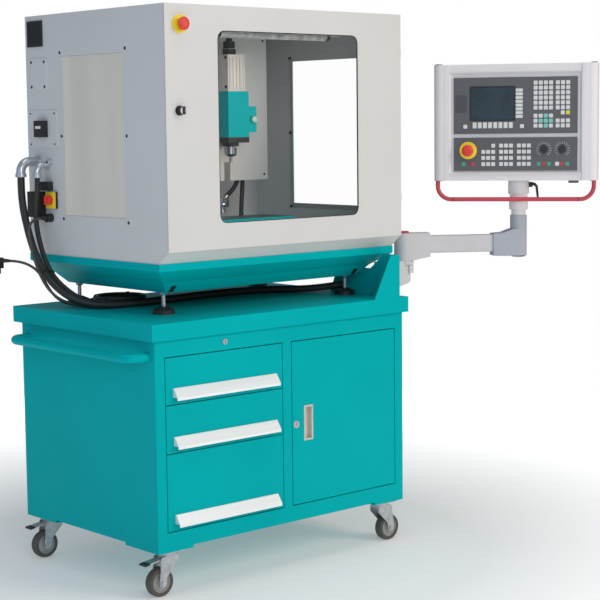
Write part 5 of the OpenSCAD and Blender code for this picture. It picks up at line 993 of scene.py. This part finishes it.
def panel_details():
    collar = Shape()
    collar.ring(on_panel(STOP_X, STOP_Z), PANEL_COLLAR_R, STOP_STEM_R, COLLAR_RISE)
    collar.done("panel_stop_collar", "pendant", "panel_plastic", YELLOW)
    glass = Shape()
    glass.block(on_panel(SCREEN_X, SCREEN_Z, PANEL_Y + GLASS_SINK), *GLASS_SIZE, GLASS_R, GLASS_EASE)
    glass.done("screen_glass", "pendant", "panel_plastic", GLASS)
    trim = Shape()
    trim.framed(on_panel(SCREEN_X, SCREEN_Z), TRIM_W, TRIM_H, TRIM_R, TRIM_SECTION)
    trim.done("screen_trim", "pendant", "panel_plastic", BLACK)
    flap = Shape()
    flap.block(on_panel(FLAP_X, SCREEN_Z), *FLAP_SIZE, FLAP_R, FLAP_EASE)
    flap.block(on_panel(FLAP_X, SCREEN_Z - FLAP_GRIP_DOWN), *FLAP_GRIP_SIZE, FLAP_GRIP_R, FLAP_GRIP_EASE)
    flap.done("panel_flap", "pendant", "panel_plastic", FLAP)
    marks = Shape()
    for x in DIAL_XS:
        for k in range(MARKS):
            a = math.radians(MARK_START + MARK_STEP * k)
            spot = on_panel(x + MARK_AT * math.cos(a), DIAL_Z + MARK_AT * math.sin(a))
            marks.block(spot @ Matrix.Rotation(a, 4, "Z"), *MARK_SIZE, MARK_R, MARK_EASE)
    marks.done("dial_marks", "pendant", "panel_plastic", TICK)


display_keys()
control_keys()
panel_details()


# Floor and light

FLOOR_R, FLOOR_SIDES = 3.4, 96
FLOOR_GLOW = {"From Min": 0.9, "From Max": 3.0, "To Min": 0.22, "To Max": 1.0}
WHITE = (1, 1, 1, 1)
AMBIENT_COLOUR, AMBIENT_STRENGTH, BACKDROP_STRENGTH = (0.84, 0.92, 1.0, 1), 0.3, 1

# Each light as (name, place, aim, size, power, colour)
LIGHTS = (
    ("key_light", (2.2, -5.2, 3.2), (0, 0, 1.2), 2.6, 130, (1, 0.86, 0.7)),
    ("fill_light", (-2.6, -4.9, 2.5), (0.2, -0.2, 1.2), 2.2, 78, (0.82, 0.88, 1)),
    ("side_light", (-5.0, -0.4, 2.2), (-0.4, 0, 1.2), 3.0, 24, (0.42, 0.6, 1)),
    ("top_light", (-0.2, -0.8, 4.8), (0, 0, 0.8), 3.0, 40, (1, 1, 1)),
)


def area_light(name, place, aim, size, power, colour):
    data = bpy.data.lights.new(name, "AREA")
    data.size = size
    data.energy = power
    data.color = colour
    light = bpy.data.objects.new(name, data)
    light.location = place
    light.rotation_euler = (Vector(aim) - Vector(place)).to_track_quat("-Z", "Y").to_euler()
    scene.collection.objects.link(light)


def pale_floor():
    """Matt floor that grows brighter away from the machine, until it meets the white backdrop."""
    mat = surface("pale floor", (224, 224, 223), rough=0.8, patch=(0.6, 0.01), grain=(60, 0.02))
    tree = mat.node_tree
    where = tree.nodes.new("ShaderNodeTexCoord")
    reach = tree.nodes.new("ShaderNodeVectorMath")
    reach.operation = "LENGTH"
    tree.links.new(where.outputs["Object"], reach.inputs[0])
    glow = tree.nodes.new("ShaderNodeMapRange")
    for socket, value in FLOOR_GLOW.items():
        glow.inputs[socket].default_value = value
    tree.links.new(reach.outputs["Value"], glow.inputs["Value"])
    shader = tree.nodes["Principled BSDF"]
    shader.inputs["Emission Color"].default_value = WHITE
    tree.links.new(glow.outputs["Result"], shader.inputs["Emission Strength"])
    return mat


def studio():
    mesh = bpy.data.meshes.new("studio_floor")
    rim = [(FLOOR_R * math.cos(a), FLOOR_R * math.sin(a), 0) for a in circle(FLOOR_SIDES)]
    mesh.from_pydata(rim, [], [range(FLOOR_SIDES)])
    floor = bpy.data.objects.new("studio_floor", mesh)
    scene.collection.objects.link(floor)
    mesh.materials.append(pale_floor())

    world = bpy.data.worlds.new("studio_world")
    world.use_nodes = True
    tree = world.node_tree
    ambient = tree.nodes["Background"]
    ambient.inputs["Color"].default_value = AMBIENT_COLOUR
    ambient.inputs["Strength"].default_value = AMBIENT_STRENGTH
    backdrop = tree.nodes.new("ShaderNodeBackground")
    backdrop.inputs["Color"].default_value = WHITE
    backdrop.inputs["Strength"].default_value = BACKDROP_STRENGTH
    seen = tree.nodes.new("ShaderNodeLightPath")
    mix = tree.nodes.new("ShaderNodeMixShader")
    tree.links.new(seen.outputs["Is Camera Ray"], mix.inputs["Fac"])
    tree.links.new(ambient.outputs["Background"], mix.inputs[1])
    tree.links.new(backdrop.outputs["Background"], mix.inputs[2])
    tree.links.new(mix.outputs["Shader"], tree.nodes["World Output"].inputs["Surface"])
    scene.world = world

    for light in LIGHTS:
        area_light(*light)


studio()
scene.view_settings.view_transform = "Standard"
